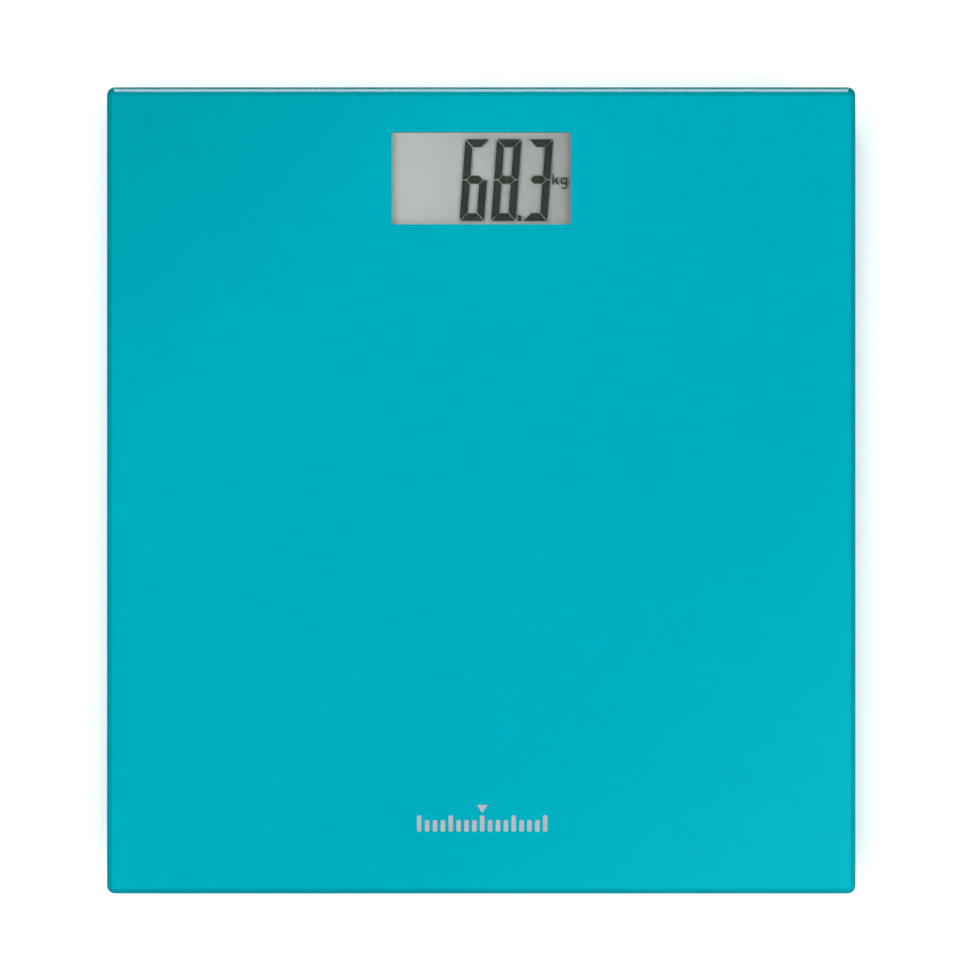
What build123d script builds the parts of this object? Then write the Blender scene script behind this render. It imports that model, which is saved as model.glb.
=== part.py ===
"""Glass-topped electronic scale: a tempered glass platform bonded to a moulded tray.

Four bending-beam load cells sit in wells in the tray's corners, each bearing on its own foot.
A segment display looks up through a window in the colour film under the glass, and one coin cell
sits behind a flap in the underside, beside a recessed unit button.

Millimetres. +Z is up, +Y runs to the rear (display) edge, +X to the right.
The origin is on the floor under the middle of the platform.
"""

import os
from math import atan2, degrees, hypot, radians, tan

from build123d import *

os.makedirs("parts", exist_ok=True)

# Modelling allowances: how far fused shapes run into each other, and cutters past what they cut
JOIN = 0.2
PAST = 1.0

# Platform: tempered glass, its colour film and the tape that bonds it to the tray
PLATFORM_WIDTH = 285.0
PLATFORM_DEPTH = 307.0
GLASS_THICK = 5.0
GLASS_CORNER = 3.0
ARRIS = 2.0
ARRIS_ROUND = 1.8
LOW_ARRIS = 0.5
FILM_THICK = 0.15
FILM_INSET = 0.8
TAPE_THICK = 0.55
TAPE_WIDTH = 5.5
TAPE_INSET = 0.5
TAPE_PAD = 34.0

# Tray: outside sizes are taken from the platform's edge
FLOOR_GAP = 5.0
TRAY_HEIGHT = 11.3
FLANGE_INSET = 5.0
FLANGE_WIDTH = 4.0
FLANGE_THICK = 2.0
FLANGE_CORNER = 16.0
WALL = 2.2
TRAY_DRAFT = 12.0
TRAY_ROUND = 3.2
RIB_THICK = 1.6
RIB_DROP = 1.0
RIB_PITCH = 34.0
RIBS_EACH_SIDE = 2
CROSS_RIBS = 5
RIB_TO_BATTERY = 4.0

# Foot wells, load cells and feet
FOOT_INSET = 44.0
WELL_RADIUS = 24.0
BEARING_RING = 3.0
CELL_SIDE = 34.0
CELL_THICK = 2.0
CELL_CORNER = 3.0
CELL_BORDER = 5.0
TONGUE_WIDTH = 14.0
TONGUE_GAP = 4.0
CELL_FLEX_ROOM = 1.6
CELL_HOLE_RADIUS = 1.5
CELL_SLOT_ROUND = 0.9
COLLAR_CLEARANCE = 0.2
COLLAR_SEAT_RADIUS = 15.5
LIP_THICK = 2.0
LEG_OUTER_RADIUS = 12.5
LEG_THICK = 1.6
LEG_SPAN = 50.0
LEG_COUNT = 3
HOOK_REACH = 1.3
HOOK_HEIGHT = 1.5
HOOK_LIFT = 0.5
LIP_CLEARANCE = 0.4
FOOT_RADIUS = 17.0
FOOT_DISC = 3.4
PAD_RADIUS = 14.0
PAD_THICK = 1.6
PAD_PROUD = 0.8
PAD_GROOVES = 3
BOSS_RADIUS = 4.0
SCREW_CIRCLE = 20.6
SCREW_RADIUS = 1.1
SCREW_HEAD_RADIUS = 2.3
SCREW_HEAD_DROP = 1.3
SCREW_LENGTH = 7.6
SCREW_PLAY = 0.05
SCREW_CLEARANCE = 0.3
BOSS_WALL = 1.4
BOSS_GAP = 0.2
PILOT_ROOM = 0.2

# Strain gauges and their leads
GAUGE_WIDTH = 8.0
GAUGE_LENGTH = 5.0
GAUGE_THICK = 0.12
SEALANT_HEIGHT = 1.15
LEAD_START = 1.0
LEAD_RADIUS = 0.45
LEAD_PITCH = 1.3
LEAD_BEND = 6.0
NOTCH_WIDTH = 6.0
CORRIDOR_WIDTH = 7.0
LEAD_LIFT = 0.05
LEAD_OFF_FLOOR = 0.5
LEAD_LANDING = 2.6
CLIP_HEIGHT = 4.0
CLIP_LENGTH = 5.0
CLIP_FIN = 1.2
CLIP_PLAY = 0.4
CLIPS_FROM_BATTERY = (-107.5, -69.5, -35.5)

# Display: the window is in the film; everything else is centred under it
WINDOW_WIDTH = 68.3
WINDOW_DEPTH = 35.1
WINDOW_CORNER = 1.3
WINDOW_FROM_REAR = 34.6
WINDOW_MARGIN = 1.8
LCD_WIDTH = 80.0
LCD_DEPTH = 39.0
LCD_GLASS = 1.1
LCD_LEDGE = 1.9
POLARISER = 0.2
REFLECTOR = 0.3
FRAME_WALL = 1.6
FRAME_LIP = 0.8
FRAME_PLAY = 0.3
LUG_RADIUS = 3.5
LUG_THICK = 2.0
LUG_OUTSET = 3.5
LUG_SPREAD = 17.0
ZEBRA_WIDTH = 1.4
BOARD_MARGIN = 9.0
BOARD_FORWARD = 8.0
BOARD_SETBACK = 0.5
BOARD_THICK = 1.6
BOARD_GAP = 2.0
SMALL_SCREW_RADIUS = 0.95
SMALL_HEAD_RADIUS = 2.1
SMALL_HEAD_HEIGHT = 1.5
SMALL_SCREW_END = 1.0
SMALL_SCREW_CLEARANCE = 0.25
BOARD_POST_RADIUS = 3.0
CHIP_RADIUS = 7.0
CHIP_HEIGHT = 1.4
CHIP_X = -8.0
CRYSTAL_RADIUS = 1.0
CRYSTAL_LENGTH = 6.0
CRYSTAL_X = 14.0

# Battery compartment, coin cell and flap
BATTERY_TO_BOARD = 14.5
MOUTH_BESIDE_COIN = 7.0
MOUTH_BEFORE_COIN = 2.5
MOUTH_BEHIND_COIN = 7.5
MOUTH_WALL = 1.8
CEILING_HEIGHT = 7.4
COIN_RADIUS = 10.0
COIN_HEIGHT = 3.2
COIN_PLAY = 0.4
COIN_BELOW_CEILING = 1.0
COIN_CAP_STEP = 1.3
COIN_SEAL = 0.5
COIN_SKIN = 0.4
CRADLE_WALL = 1.2
CRADLE_GAP_HALF = 5.0
SLOT_SPARE = 0.4
CONTACT_THICK = 0.3
CONTACT_WIDTH = 6.0
TAIL_FROM_REAR = 1.7
TAIL_PROUD = 0.8
FLAP_THICK = 2.4
FLAP_GAP = 0.3
HINGE_PIN_RADIUS = 0.8
HINGE_PIN_LENGTH = 1.5
HINGE_PLAY = 0.05
LATCH_WIDTH = 8.0
LATCH_THICK = 1.0
LATCH_NOTCH = 4.6
LATCH_RISE = 3.6
LATCH_SET_BACK = 0.9
LATCH_WINDOW_LOW = 1.6
LATCH_WINDOW_HIGH = 3.2
SCOOP_RADIUS = 14.4
SCOOP_DEPTH = 1.4
SCOOP_CENTRE = 3.5
FLAP_RIB_HALF_X = 5.0
FLAP_RIB_THICK = 1.2
RIB_TO_COIN = 0.15
GRIP_GROOVES = 3
GRIP_PITCH = 2.0
GRIP_RADIUS = 0.45

# Unit button and its switch
BUTTON_X = 30.0
BUTTON_FROM_WINDOW = 13.0
BUTTON_RADIUS = 3.4
BUTTON_PLAY = 0.3
BUTTON_FLANGE = 1.3
BUTTON_FLANGE_THICK = 0.6
BUTTON_DISH_RADIUS = 6.5
BUTTON_DISH_DEPTH = 0.8
BUTTON_TRAVEL = 0.25
BUTTON_RECESS = 0.7
BUTTON_DISH_BALL = 12.0
BUTTON_DISH_SINK = 0.3
BUTTON_FLANGE_LIFT = 0.1
SWITCH_SIDE = 4.6
SWITCH_SKIN = 0.15
SWITCH_HEIGHT = 0.8
PLUNGER_RADIUS = 1.1

# Label
LABEL_WIDTH = 64.0
LABEL_DEPTH = 36.0
LABEL_THICK = 0.2
LABEL_Y = -26.0
LABEL_CORNER = 2.0
LABEL_MARGIN = 0.5
LABEL_SINK = 0.1

# Heights that follow from the sizes above
FLOOR_TOP = FLOOR_GAP + WALL
RIM = FLOOR_GAP + TRAY_HEIGHT
FILM_LOW = RIM + TAPE_THICK
GLASS_LOW = FILM_LOW + FILM_THICK
GLASS_TOP = GLASS_LOW + GLASS_THICK
WELL_TOP = RIM - FLANGE_THICK
CELL_TOP = WELL_TOP - CELL_FLEX_ROOM
CELL_LOW = CELL_TOP - CELL_THICK
BOARD_LOW = FLOOR_TOP + BOARD_GAP
BOARD_TOP = BOARD_LOW + BOARD_THICK
LCD_TOP = RIM - FRAME_LIP
FRONT_GLASS_LOW = LCD_TOP - POLARISER - LCD_GLASS
CEILING = FLOOR_GAP + CEILING_HEIGHT
CEILING_TOP = CEILING + MOUTH_WALL
COIN_TOP = CEILING - COIN_BELOW_CEILING
COIN_LOW = COIN_TOP - COIN_HEIGHT
LABEL_LOW = FLOOR_GAP + LABEL_SINK

# Plan positions that follow
FLANGE_SIZE = (PLATFORM_WIDTH - 2 * FLANGE_INSET, PLATFORM_DEPTH - 2 * FLANGE_INSET)
TRAY_SIZE = (FLANGE_SIZE[0] - 2 * FLANGE_WIDTH, FLANGE_SIZE[1] - 2 * FLANGE_WIDTH)
TRAY_CORNER = FLANGE_CORNER - FLANGE_WIDTH
GAUGE_Y = CELL_SIDE / 2 - CELL_BORDER - GAUGE_LENGTH / 2 - 0.5
FOOT_X = PLATFORM_WIDTH / 2 - FOOT_INSET
FOOT_Y = PLATFORM_DEPTH / 2 - FOOT_INSET
WINDOW_Y = PLATFORM_DEPTH / 2 - WINDOW_FROM_REAR
FRAME_SIZE = (LCD_WIDTH + 2 * (FRAME_PLAY + FRAME_WALL), LCD_DEPTH + 2 * (FRAME_PLAY + FRAME_WALL))
BOARD_WIDTH = LCD_WIDTH + 2 * BOARD_MARGIN
BOARD_FRONT = WINDOW_Y - FRAME_SIZE[1] / 2 - BOARD_FORWARD
BOARD_REAR = WINDOW_Y + FRAME_SIZE[1] / 2 - BOARD_SETBACK
LUG_X = FRAME_SIZE[0] / 2 + LUG_OUTSET
LUG_POINTS = [(sx * LUG_X, WINDOW_Y + sy * LUG_SPREAD) for sx in (-1, 1) for sy in (-1, 1)]
BUTTON_Y = WINDOW_Y - BUTTON_FROM_WINDOW
MOUTH_WIDTH = 2 * (COIN_RADIUS + MOUTH_BESIDE_COIN)
MOUTH_REAR = BOARD_FRONT - BATTERY_TO_BOARD
BATTERY_Y = MOUTH_REAR - MOUTH_BEHIND_COIN - COIN_RADIUS
MOUTH_FRONT = BATTERY_Y - COIN_RADIUS - MOUTH_BEFORE_COIN
TAIL_Y = MOUTH_REAR - TAIL_FROM_REAR
HINGE_Y = MOUTH_FRONT + FLAP_GAP + FLAP_THICK / 2
HINGE_Z = FLOOR_GAP + FLAP_THICK / 2

# Each corner: name, side in X, side in Y, and how far its load cell is turned.
# A cell's root, where its leads come off, faces +Y before it is turned.
CORNERS = [
    ("front_left", -1, -1, 0),
    ("front_right", 1, -1, 0),
    ("rear_left", -1, 1, -90),
    ("rear_right", 1, 1, 90),
]


def plate(width, depth, corner, low, high):
    """A flat plate with round plan corners, between two heights."""
    return extrude(Plane.XY.offset(low) * RectangleRounded(width, depth, corner), high - low)


def disc(radius, low, high, x=0.0, y=0.0):
    """A round bar standing on a height."""
    return Pos(x, y, low) * extrude(Circle(radius), high - low)


def ring(outer, inner, low, high):
    """A round tube standing on a height."""
    return disc(outer, low, high) - disc(inner, low - PAST, high + PAST)


def block(x_low, x_high, y_low, y_high, z_low, z_high):
    """A plain box between limits."""
    middle = Pos((x_low + x_high) / 2, (y_low + y_high) / 2, (z_low + z_high) / 2)
    return middle * Box(x_high - x_low, y_high - y_low, z_high - z_low)


def edges_at(shape, z):
    """The edges that lie flat at a height."""
    return shape.edges().filter_by_position(Axis.Z, z - 1e-4, z + 1e-4)


def round_edges_at(shape, z, radius):
    """Rounds every edge that lies flat at a height."""
    return fillet(edges_at(shape, z), radius)


def at_corner(shape, side_x, side_y, turn=0):
    """Moves a foot-well piece, made about the Z axis, to its corner."""
    return Pos(side_x * FOOT_X, side_y * FOOT_Y, 0) * Rot(0, 0, turn) * shape


def save(name, *solids):
    """Writes one node; a group of separate solids stays separate."""
    shape = solids[0] if len(solids) == 1 else Compound(children=list(solids))
    export_step(shape, f"parts/{name}.step")


# ---------------------------------------------------------------- leads


def lead_height():
    """Height of the leads where they leave a strain gauge."""
    return CELL_TOP + GAUGE_THICK + LEAD_RADIUS + LEAD_LIFT


def lead_route(side_x, side_y):
    """Plan points and heights of the middle lead of one load cell, from gauge to board."""
    x, y = side_x * FOOT_X, side_y * FOOT_Y
    high = lead_height()
    low = FLOOR_TOP + LEAD_RADIUS + LEAD_OFF_FLOOR
    on_board = BOARD_TOP + LEAD_RADIUS
    board_edge = BOARD_WIDTH / 2
    outside_well = WELL_RADIUS + WALL + 3.0
    start = GAUGE_Y + LEAD_START
    if side_y < 0:
        land_y = WINDOW_Y - 8.0
        return [
            (x, y + start, high),
            (x, y + outside_well, high),
            (x, y + outside_well + 9.0, low),
            (x, BATTERY_Y - 10.0, low),
            (side_x * (board_edge + 16.0), land_y - 20.0, low),
            (side_x * (board_edge + 12.0), land_y, low),
            (side_x * (board_edge + 3.0), land_y, on_board),
            (side_x * (board_edge - LEAD_LANDING), land_y, on_board),
        ]
    land_y = WINDOW_Y + 4.0
    return [
        (x - side_x * start, y, high),
        (x - side_x * outside_well, y, high),
        (side_x * (board_edge + 13.0), land_y - 4.0, high),
        (side_x * (board_edge + 4.0), land_y, on_board),
        (side_x * (board_edge - LEAD_LANDING), land_y, on_board),
    ]


def beside(route, offset):
    """The route moved sideways in plan by an offset, mitred at its turns."""
    moved = []
    for i, (x, y, z) in enumerate(route):
        before = route[max(i - 1, 0)]
        after = route[min(i + 1, len(route) - 1)]
        into = (x - before[0], y - before[1]) if i else (after[0] - x, after[1] - y)
        out = (after[0] - x, after[1] - y) if i < len(route) - 1 else into
        a = Vector(*into, 0).normalized()
        b = Vector(*out, 0).normalized()
        normal = Vector(-(a.Y + b.Y), a.X + b.X, 0).normalized()
        stretch = offset / normal.dot(Vector(-a.Y, a.X, 0))
        moved.append((x + normal.X * stretch, y + normal.Y * stretch, z))
    return moved


def bend_radii(points):
    """A radius for each corner of a route: the usual bend, or less where the runs beside it are short."""
    radii = []
    for p, q, r in zip(points, points[1:], points[2:]):
        into, out = Vector(*q) - Vector(*p), Vector(*r) - Vector(*q)
        half_turn = into.get_angle(out) / 2
        reach = 0.45 * min(into.length, out.length)
        radii.append(min(LEAD_BEND, reach / tan(radians(half_turn))))
    return radii


def wire(points, radius):
    """A round wire along straight runs joined by tangent arcs."""
    path = FilletPolyline(*points, radius=bend_radii(points))
    start = Plane(origin=points[0], z_dir=Vector(*points[1]) - Vector(*points[0]))
    return sweep(start * Circle(radius), path=path)


def corridor(route):
    """The clear way, open to the tray's rim, that a set of leads needs through the ribs."""
    way = None
    for (x0, y0, _), (x1, y1, _) in zip(route, route[1:]):
        heading = degrees(atan2(y1 - y0, x1 - x0))
        bar = Box(hypot(x1 - x0, y1 - y0) + CORRIDOR_WIDTH, CORRIDOR_WIDTH, TRAY_HEIGHT)
        placed = Pos((x0 + x1) / 2, (y0 + y1) / 2, (FLOOR_GAP + RIM) / 2) * Rot(0, 0, heading) * bar
        way = placed if way is None else way + placed
    return way


# ---------------------------------------------------------------- platform


def glass_platform():
    """Tempered glass plate with ground and polished arrises, a small round where each meets the edge."""
    glass = plate(PLATFORM_WIDTH, PLATFORM_DEPTH, GLASS_CORNER, GLASS_LOW, GLASS_TOP)
    glass = chamfer(edges_at(glass, GLASS_TOP), ARRIS)
    glass = chamfer(edges_at(glass, GLASS_LOW), LOW_ARRIS)
    return round_edges_at(glass, GLASS_TOP - ARRIS, ARRIS_ROUND)


def window_cut(margin, low, high):
    """The display window's shape, wider by a margin all round."""
    cut = plate(WINDOW_WIDTH + 2 * margin, WINDOW_DEPTH + 2 * margin, WINDOW_CORNER, low, high)
    return Pos(0, WINDOW_Y, 0) * cut


def print_film():
    """Colour film on the underside of the glass, with the clear display window left out."""
    width, depth = PLATFORM_WIDTH - 2 * FILM_INSET, PLATFORM_DEPTH - 2 * FILM_INSET
    film = plate(width, depth, GLASS_CORNER - FILM_INSET, FILM_LOW, GLASS_LOW)
    return film - window_cut(0, FILM_LOW - PAST, GLASS_LOW + PAST)


def bonding_tape():
    """Foam tape: one ring on the tray's flange and one pad over each foot well."""
    width, depth = (side - 2 * TAPE_INSET for side in FLANGE_SIZE)
    outer = plate(width, depth, FLANGE_CORNER - TAPE_INSET, RIM, FILM_LOW)
    inner_corner = FLANGE_CORNER - TAPE_INSET - TAPE_WIDTH
    inner = plate(width - 2 * TAPE_WIDTH, depth - 2 * TAPE_WIDTH, inner_corner, RIM - PAST, FILM_LOW + PAST)
    pad = plate(TAPE_PAD, TAPE_PAD, CELL_CORNER, RIM, FILM_LOW)
    return [outer - inner] + [at_corner(pad, sx, sy) for _, sx, sy, _ in CORNERS]


# ---------------------------------------------------------------- tray


def tray_body(inset, low, taper):
    """The tray's tapering block from its rim down to a height, drawn in by an inset."""
    outline = RectangleRounded(TRAY_SIZE[0] - 2 * inset, TRAY_SIZE[1] - 2 * inset, TRAY_CORNER - inset)
    return extrude(Plane.XY.offset(RIM) * outline, -(RIM - low), taper=taper)


def tray_ribs(cavity):
    """Stiffening ribs on the tray's floor, kept clear of the battery box, board and leads."""
    top = RIM - RIB_DROP
    half_x, half_y = TRAY_SIZE[0] / 2, TRAY_SIZE[1] / 2
    front_end = MOUTH_FRONT - MOUTH_WALL - RIB_TO_BATTERY
    long_x = [n * RIB_PITCH for n in range(-RIBS_EACH_SIDE, RIBS_EACH_SIDE + 1)]
    cross_y = [front_end - n * RIB_PITCH for n in range(CROSS_RIBS)]
    ribs = None
    for x in long_x:
        rear_end = half_y if abs(x) > BOARD_WIDTH / 2 + LUG_RADIUS else front_end
        bar = block(x - RIB_THICK / 2, x + RIB_THICK / 2, -half_y, rear_end, FLOOR_TOP - JOIN, top)
        ribs = bar if ribs is None else ribs + bar
    for y in cross_y:
        ribs += block(-half_x, half_x, y - RIB_THICK / 2, y + RIB_THICK / 2, FLOOR_TOP - JOIN, top)
    ribs = ribs & cavity
    for _, sx, sy, _ in CORNERS:
        ribs -= at_corner(disc(WELL_RADIUS + 0.5 * WALL, FLOOR_GAP, RIM), sx, sy)
        ribs -= corridor(lead_route(sx, sy))
    return ribs


def lead_clips():
    """Pairs of fins that hold the front load cells' leads down along the tray's sides."""
    inner = (3 * LEAD_PITCH + CLIP_PLAY) / 2
    reach = CLIP_LENGTH / 2
    fin = block(inner, inner + CLIP_FIN, -reach, reach, FLOOR_TOP - JOIN, FLOOR_TOP + CLIP_HEIGHT)
    pair = fin + mirror(fin, about=Plane.YZ)
    spots = [(side * FOOT_X, BATTERY_Y + along) for side in (-1, 1) for along in CLIPS_FROM_BATTERY]
    return [Pos(x, y, 0) * pair for x, y in spots]


def well(turn):
    """One foot well, open downwards: wall, ceiling, the load cell's square seat and two screw bosses."""
    outer = disc(WELL_RADIUS + WALL, FLOOR_TOP - JOIN, RIM)
    shaft = disc(WELL_RADIUS, FLOOR_GAP - PAST, WELL_TOP)
    seat = plate(CELL_SIDE, CELL_SIDE, CELL_CORNER, CELL_TOP, WELL_TOP + JOIN)
    seat -= plate(CELL_SIDE - 2 * BEARING_RING, CELL_SIDE - 2 * BEARING_RING, 1.0, CELL_TOP - PAST, WELL_TOP)
    notch = block(-NOTCH_WIDTH / 2, NOTCH_WIDTH / 2, 0, WELL_RADIUS + 2 * WALL, CELL_TOP - 0.3, WELL_TOP)
    bosses = None
    for side in (-1, 1):
        post = disc(SCREW_RADIUS + BOSS_WALL, CELL_LOW + BOSS_GAP, WELL_TOP + JOIN, side * SCREW_CIRCLE)
        post -= disc(SCREW_RADIUS + SCREW_PLAY, CELL_LOW - PAST, WELL_TOP, side * SCREW_CIRCLE)
        bosses = post if bosses is None else bosses + post
    inside = Rot(0, 0, turn) * (seat - notch + bosses)
    return outer, shaft, inside, Rot(0, 0, turn) * notch


def battery_box():
    """Walls, ceiling and round cradle of the coin-cell compartment, and what is cut for its mouth."""
    half = MOUTH_WIDTH / 2
    outer = block(
        -half - MOUTH_WALL, half + MOUTH_WALL,
        MOUTH_FRONT - MOUTH_WALL, MOUTH_REAR + MOUTH_WALL,
        FLOOR_TOP - JOIN, CEILING_TOP,
    )
    mouth = block(-half, half, MOUTH_FRONT, MOUTH_REAR, FLOOR_GAP - PAST, CEILING)
    cradle_inner = COIN_RADIUS + COIN_PLAY
    cradle_outer = cradle_inner + CRADLE_WALL
    gap = CRADLE_GAP_HALF
    cradle = Pos(0, BATTERY_Y, 0) * ring(cradle_outer, cradle_inner, COIN_LOW + COIN_SKIN, CEILING + JOIN)
    front, rear = BATTERY_Y - gap, BATTERY_Y + gap
    cradle -= block(COIN_RADIUS - gap, cradle_outer + PAST, front, rear, FLOOR_GAP, CEILING)
    cradle -= block(-gap, gap, MOUTH_FRONT - PAST, front, FLOOR_GAP, CEILING)
    cradle -= block(-gap, gap, rear, MOUTH_REAR, FLOOR_GAP, CEILING)
    cradle = cradle & block(-half, half, MOUTH_FRONT - PAST, MOUTH_REAR, FLOOR_GAP, CEILING + PAST)
    bores = None
    for side in (-1, 1):
        bore = Pos(side * half, HINGE_Y, HINGE_Z) * Rot(0, 90, 0)
        bore *= Cylinder(HINGE_PIN_RADIUS + HINGE_PLAY, 2 * (MOUTH_WALL + PAST))
        bores = bore if bores is None else bores + bore
    slot_half = CONTACT_WIDTH / 2 + SLOT_SPARE
    across = CONTACT_THICK / 2 + SLOT_SPARE
    through = (CEILING - PAST, CEILING_TOP + PAST)
    plus_x = COIN_RADIUS + CONTACT_THICK / 2
    slots = block(-slot_half, slot_half, TAIL_Y - across, TAIL_Y + across, *through)
    slots += block(plus_x - across, plus_x + across, BATTERY_Y - slot_half, BATTERY_Y + slot_half, *through)
    window_half = LATCH_WIDTH / 2 + PAST
    latch_window = block(
        -window_half, window_half,
        MOUTH_REAR - PAST / 2, MOUTH_REAR + MOUTH_WALL + PAST,
        HINGE_Z + LATCH_WINDOW_LOW, HINGE_Z + LATCH_WINDOW_HIGH,
    )
    return outer, mouth, cradle, bores + slots + latch_window


def tray():
    """The moulded tray: flange, drafted wall, floor, ribs, foot wells, battery box and board bosses."""
    body = round_edges_at(tray_body(0, FLOOR_GAP, TRAY_DRAFT), FLOOR_GAP, TRAY_ROUND)
    flange = plate(*FLANGE_SIZE, FLANGE_CORNER, WELL_TOP, RIM)
    flange = round_edges_at(flange, WELL_TOP, 0.6)
    cavity = tray_body(WALL, FLOOR_TOP, TRAY_DRAFT)
    shell = body + flange - cavity + tray_ribs(cavity)
    for fins in lead_clips():
        shell += fins
    for x, y in LUG_POINTS:
        shell += disc(BOARD_POST_RADIUS, FLOOR_TOP - JOIN, BOARD_LOW, x, y)
        shell -= disc(SMALL_SCREW_RADIUS + SCREW_PLAY, FLOOR_GAP + SMALL_SCREW_END - PILOT_ROOM, RIM, x, y)
    box_outer, mouth, cradle, cuts = battery_box()
    shell = shell + box_outer - mouth + cradle - cuts
    scoop = Pos(0, MOUTH_REAR + SCOOP_CENTRE, FLOOR_GAP + SCOOP_DEPTH - SCOOP_RADIUS) * Sphere(SCOOP_RADIUS)
    behind_wall = MOUTH_REAR + MOUTH_WALL / 2
    reach = SCOOP_RADIUS
    shell -= scoop & block(-reach, reach, behind_wall, behind_wall + reach, 0, FLOOR_TOP)
    for _, sx, sy, turn in CORNERS:
        outer, shaft, inside, notch = (at_corner(piece, sx, sy) for piece in well(turn))
        shell = shell + outer - shaft + inside - notch
    dish = disc(BUTTON_DISH_RADIUS, FLOOR_GAP - PAST, FLOOR_GAP + BUTTON_DISH_DEPTH, BUTTON_X, BUTTON_Y)
    dish += disc(BUTTON_RADIUS + BUTTON_PLAY, FLOOR_GAP, FLOOR_TOP + PAST, BUTTON_X, BUTTON_Y)
    bed_width, bed_depth = LABEL_WIDTH + 2 * LABEL_MARGIN, LABEL_DEPTH + 2 * LABEL_MARGIN
    bed = plate(bed_width, bed_depth, LABEL_CORNER + LABEL_MARGIN, FLOOR_GAP - PAST, LABEL_LOW + LABEL_THICK)
    return shell - dish - Pos(0, LABEL_Y, 0) * bed


# ---------------------------------------------------------------- load cells and feet


def load_cell():
    """Stamped spring-steel plate: a square frame and a tongue joined to it at the rear (root) side."""
    side = CELL_SIDE
    cell = plate(side, side, CELL_CORNER, CELL_LOW, CELL_TOP)
    inner = side / 2 - CELL_BORDER
    hole_at = inner + CELL_HOLE_RADIUS
    opening = block(-inner, inner, -inner, inner, CELL_LOW - PAST, CELL_TOP + PAST)
    tongue = block(
        -TONGUE_WIDTH / 2, TONGUE_WIDTH / 2,
        TONGUE_GAP - inner, inner + PAST,
        CELL_LOW - 2 * PAST, CELL_TOP + 2 * PAST,
    )
    slot = opening - tongue
    cell -= fillet(slot.edges().filter_by(Axis.Z), CELL_SLOT_ROUND)
    for sx in (-1, 1):
        for sy in (-1, 1):
            cell -= disc(CELL_HOLE_RADIUS, CELL_LOW - PAST, CELL_TOP + PAST, sx * hole_at, sy * hole_at)
    return cell


def strain_gauge():
    """Foil gauge at the tongue's root, and the white sealant that closes round the ends of its leads."""
    foil = Pos(0, GAUGE_Y, 0) * plate(GAUGE_WIDTH, GAUGE_LENGTH, 0.4, CELL_TOP, CELL_TOP + GAUGE_THICK)
    low = CELL_TOP + GAUGE_THICK
    blob = Pos(0, GAUGE_Y, 0) * plate(GAUGE_WIDTH - 0.8, GAUGE_LENGTH - 0.8, 1.6, low, low + SEALANT_HEIGHT)
    blob = fillet(edges_at(blob, low + SEALANT_HEIGHT), 0.45)
    for n in (-1, 0, 1):
        socket = Rot(90, 0, 0) * Cylinder(LEAD_RADIUS, 2 * GAUGE_LENGTH)
        blob -= Pos(n * LEAD_PITCH, GAUGE_Y + LEAD_START + GAUGE_LENGTH, lead_height()) * socket
    return [foil, blob]


def cell_leads(sx, sy):
    """Three leads of one load cell, side by side from the gauge to the board."""
    route = lead_route(sx, sy)
    return [wire(beside(route, n * LEAD_PITCH), LEAD_RADIUS) for n in (-1, 0, 1)]


def foot_collar():
    """Screwed-in collar that closes the well, holds the cell's frame up and keeps the foot's hooks."""
    outer = WELL_RADIUS - COLLAR_CLEARANCE
    collar = round_edges_at(disc(outer, FLOOR_GAP, CELL_LOW), FLOOR_GAP, 0.6)
    collar -= disc(LEG_OUTER_RADIUS + LIP_CLEARANCE, FLOOR_GAP - PAST, CELL_LOW + PAST)
    collar -= disc(COLLAR_SEAT_RADIUS, FLOOR_GAP + LIP_THICK, CELL_LOW + PAST)
    for side in (-1, 1):
        x = side * SCREW_CIRCLE
        collar -= disc(SCREW_RADIUS + SCREW_CLEARANCE, FLOOR_GAP - PAST, CELL_LOW + PAST, x)
        collar -= Pos(x, 0, FLOOR_GAP) * screw_cone(SCREW_CLEARANCE / 2)
    return collar


def screw_cone(extra):
    """A countersunk head's cone, its wide face at height 0 and pointing up."""
    wide, narrow = SCREW_HEAD_RADIUS + extra, SCREW_RADIUS + extra
    return Pos(0, 0, SCREW_HEAD_DROP / 2) * Cone(wide, narrow, SCREW_HEAD_DROP)


def cross_recess(radius, depth):
    """A crosshead driver recess, cut upwards from height 0."""
    bar = Pos(0, 0, depth / 2) * Box(2 * radius, 0.55, depth)
    core = Pos(0, 0, depth / 2 + 0.1) * Cone(0.75, 0.35, depth + 0.2)
    return bar + Rot(0, 0, 90) * bar + core


def collar_screw():
    """Countersunk self-tapping screw, head down, seen from under the scale."""
    shank = disc(SCREW_RADIUS, SCREW_HEAD_DROP, SCREW_LENGTH)
    shank = chamfer(edges_at(shank, SCREW_LENGTH), 0.6)
    screw = screw_cone(0) + shank - cross_recess(1.35, 0.9)
    return Pos(0, 0, FLOOR_GAP) * screw


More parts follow.
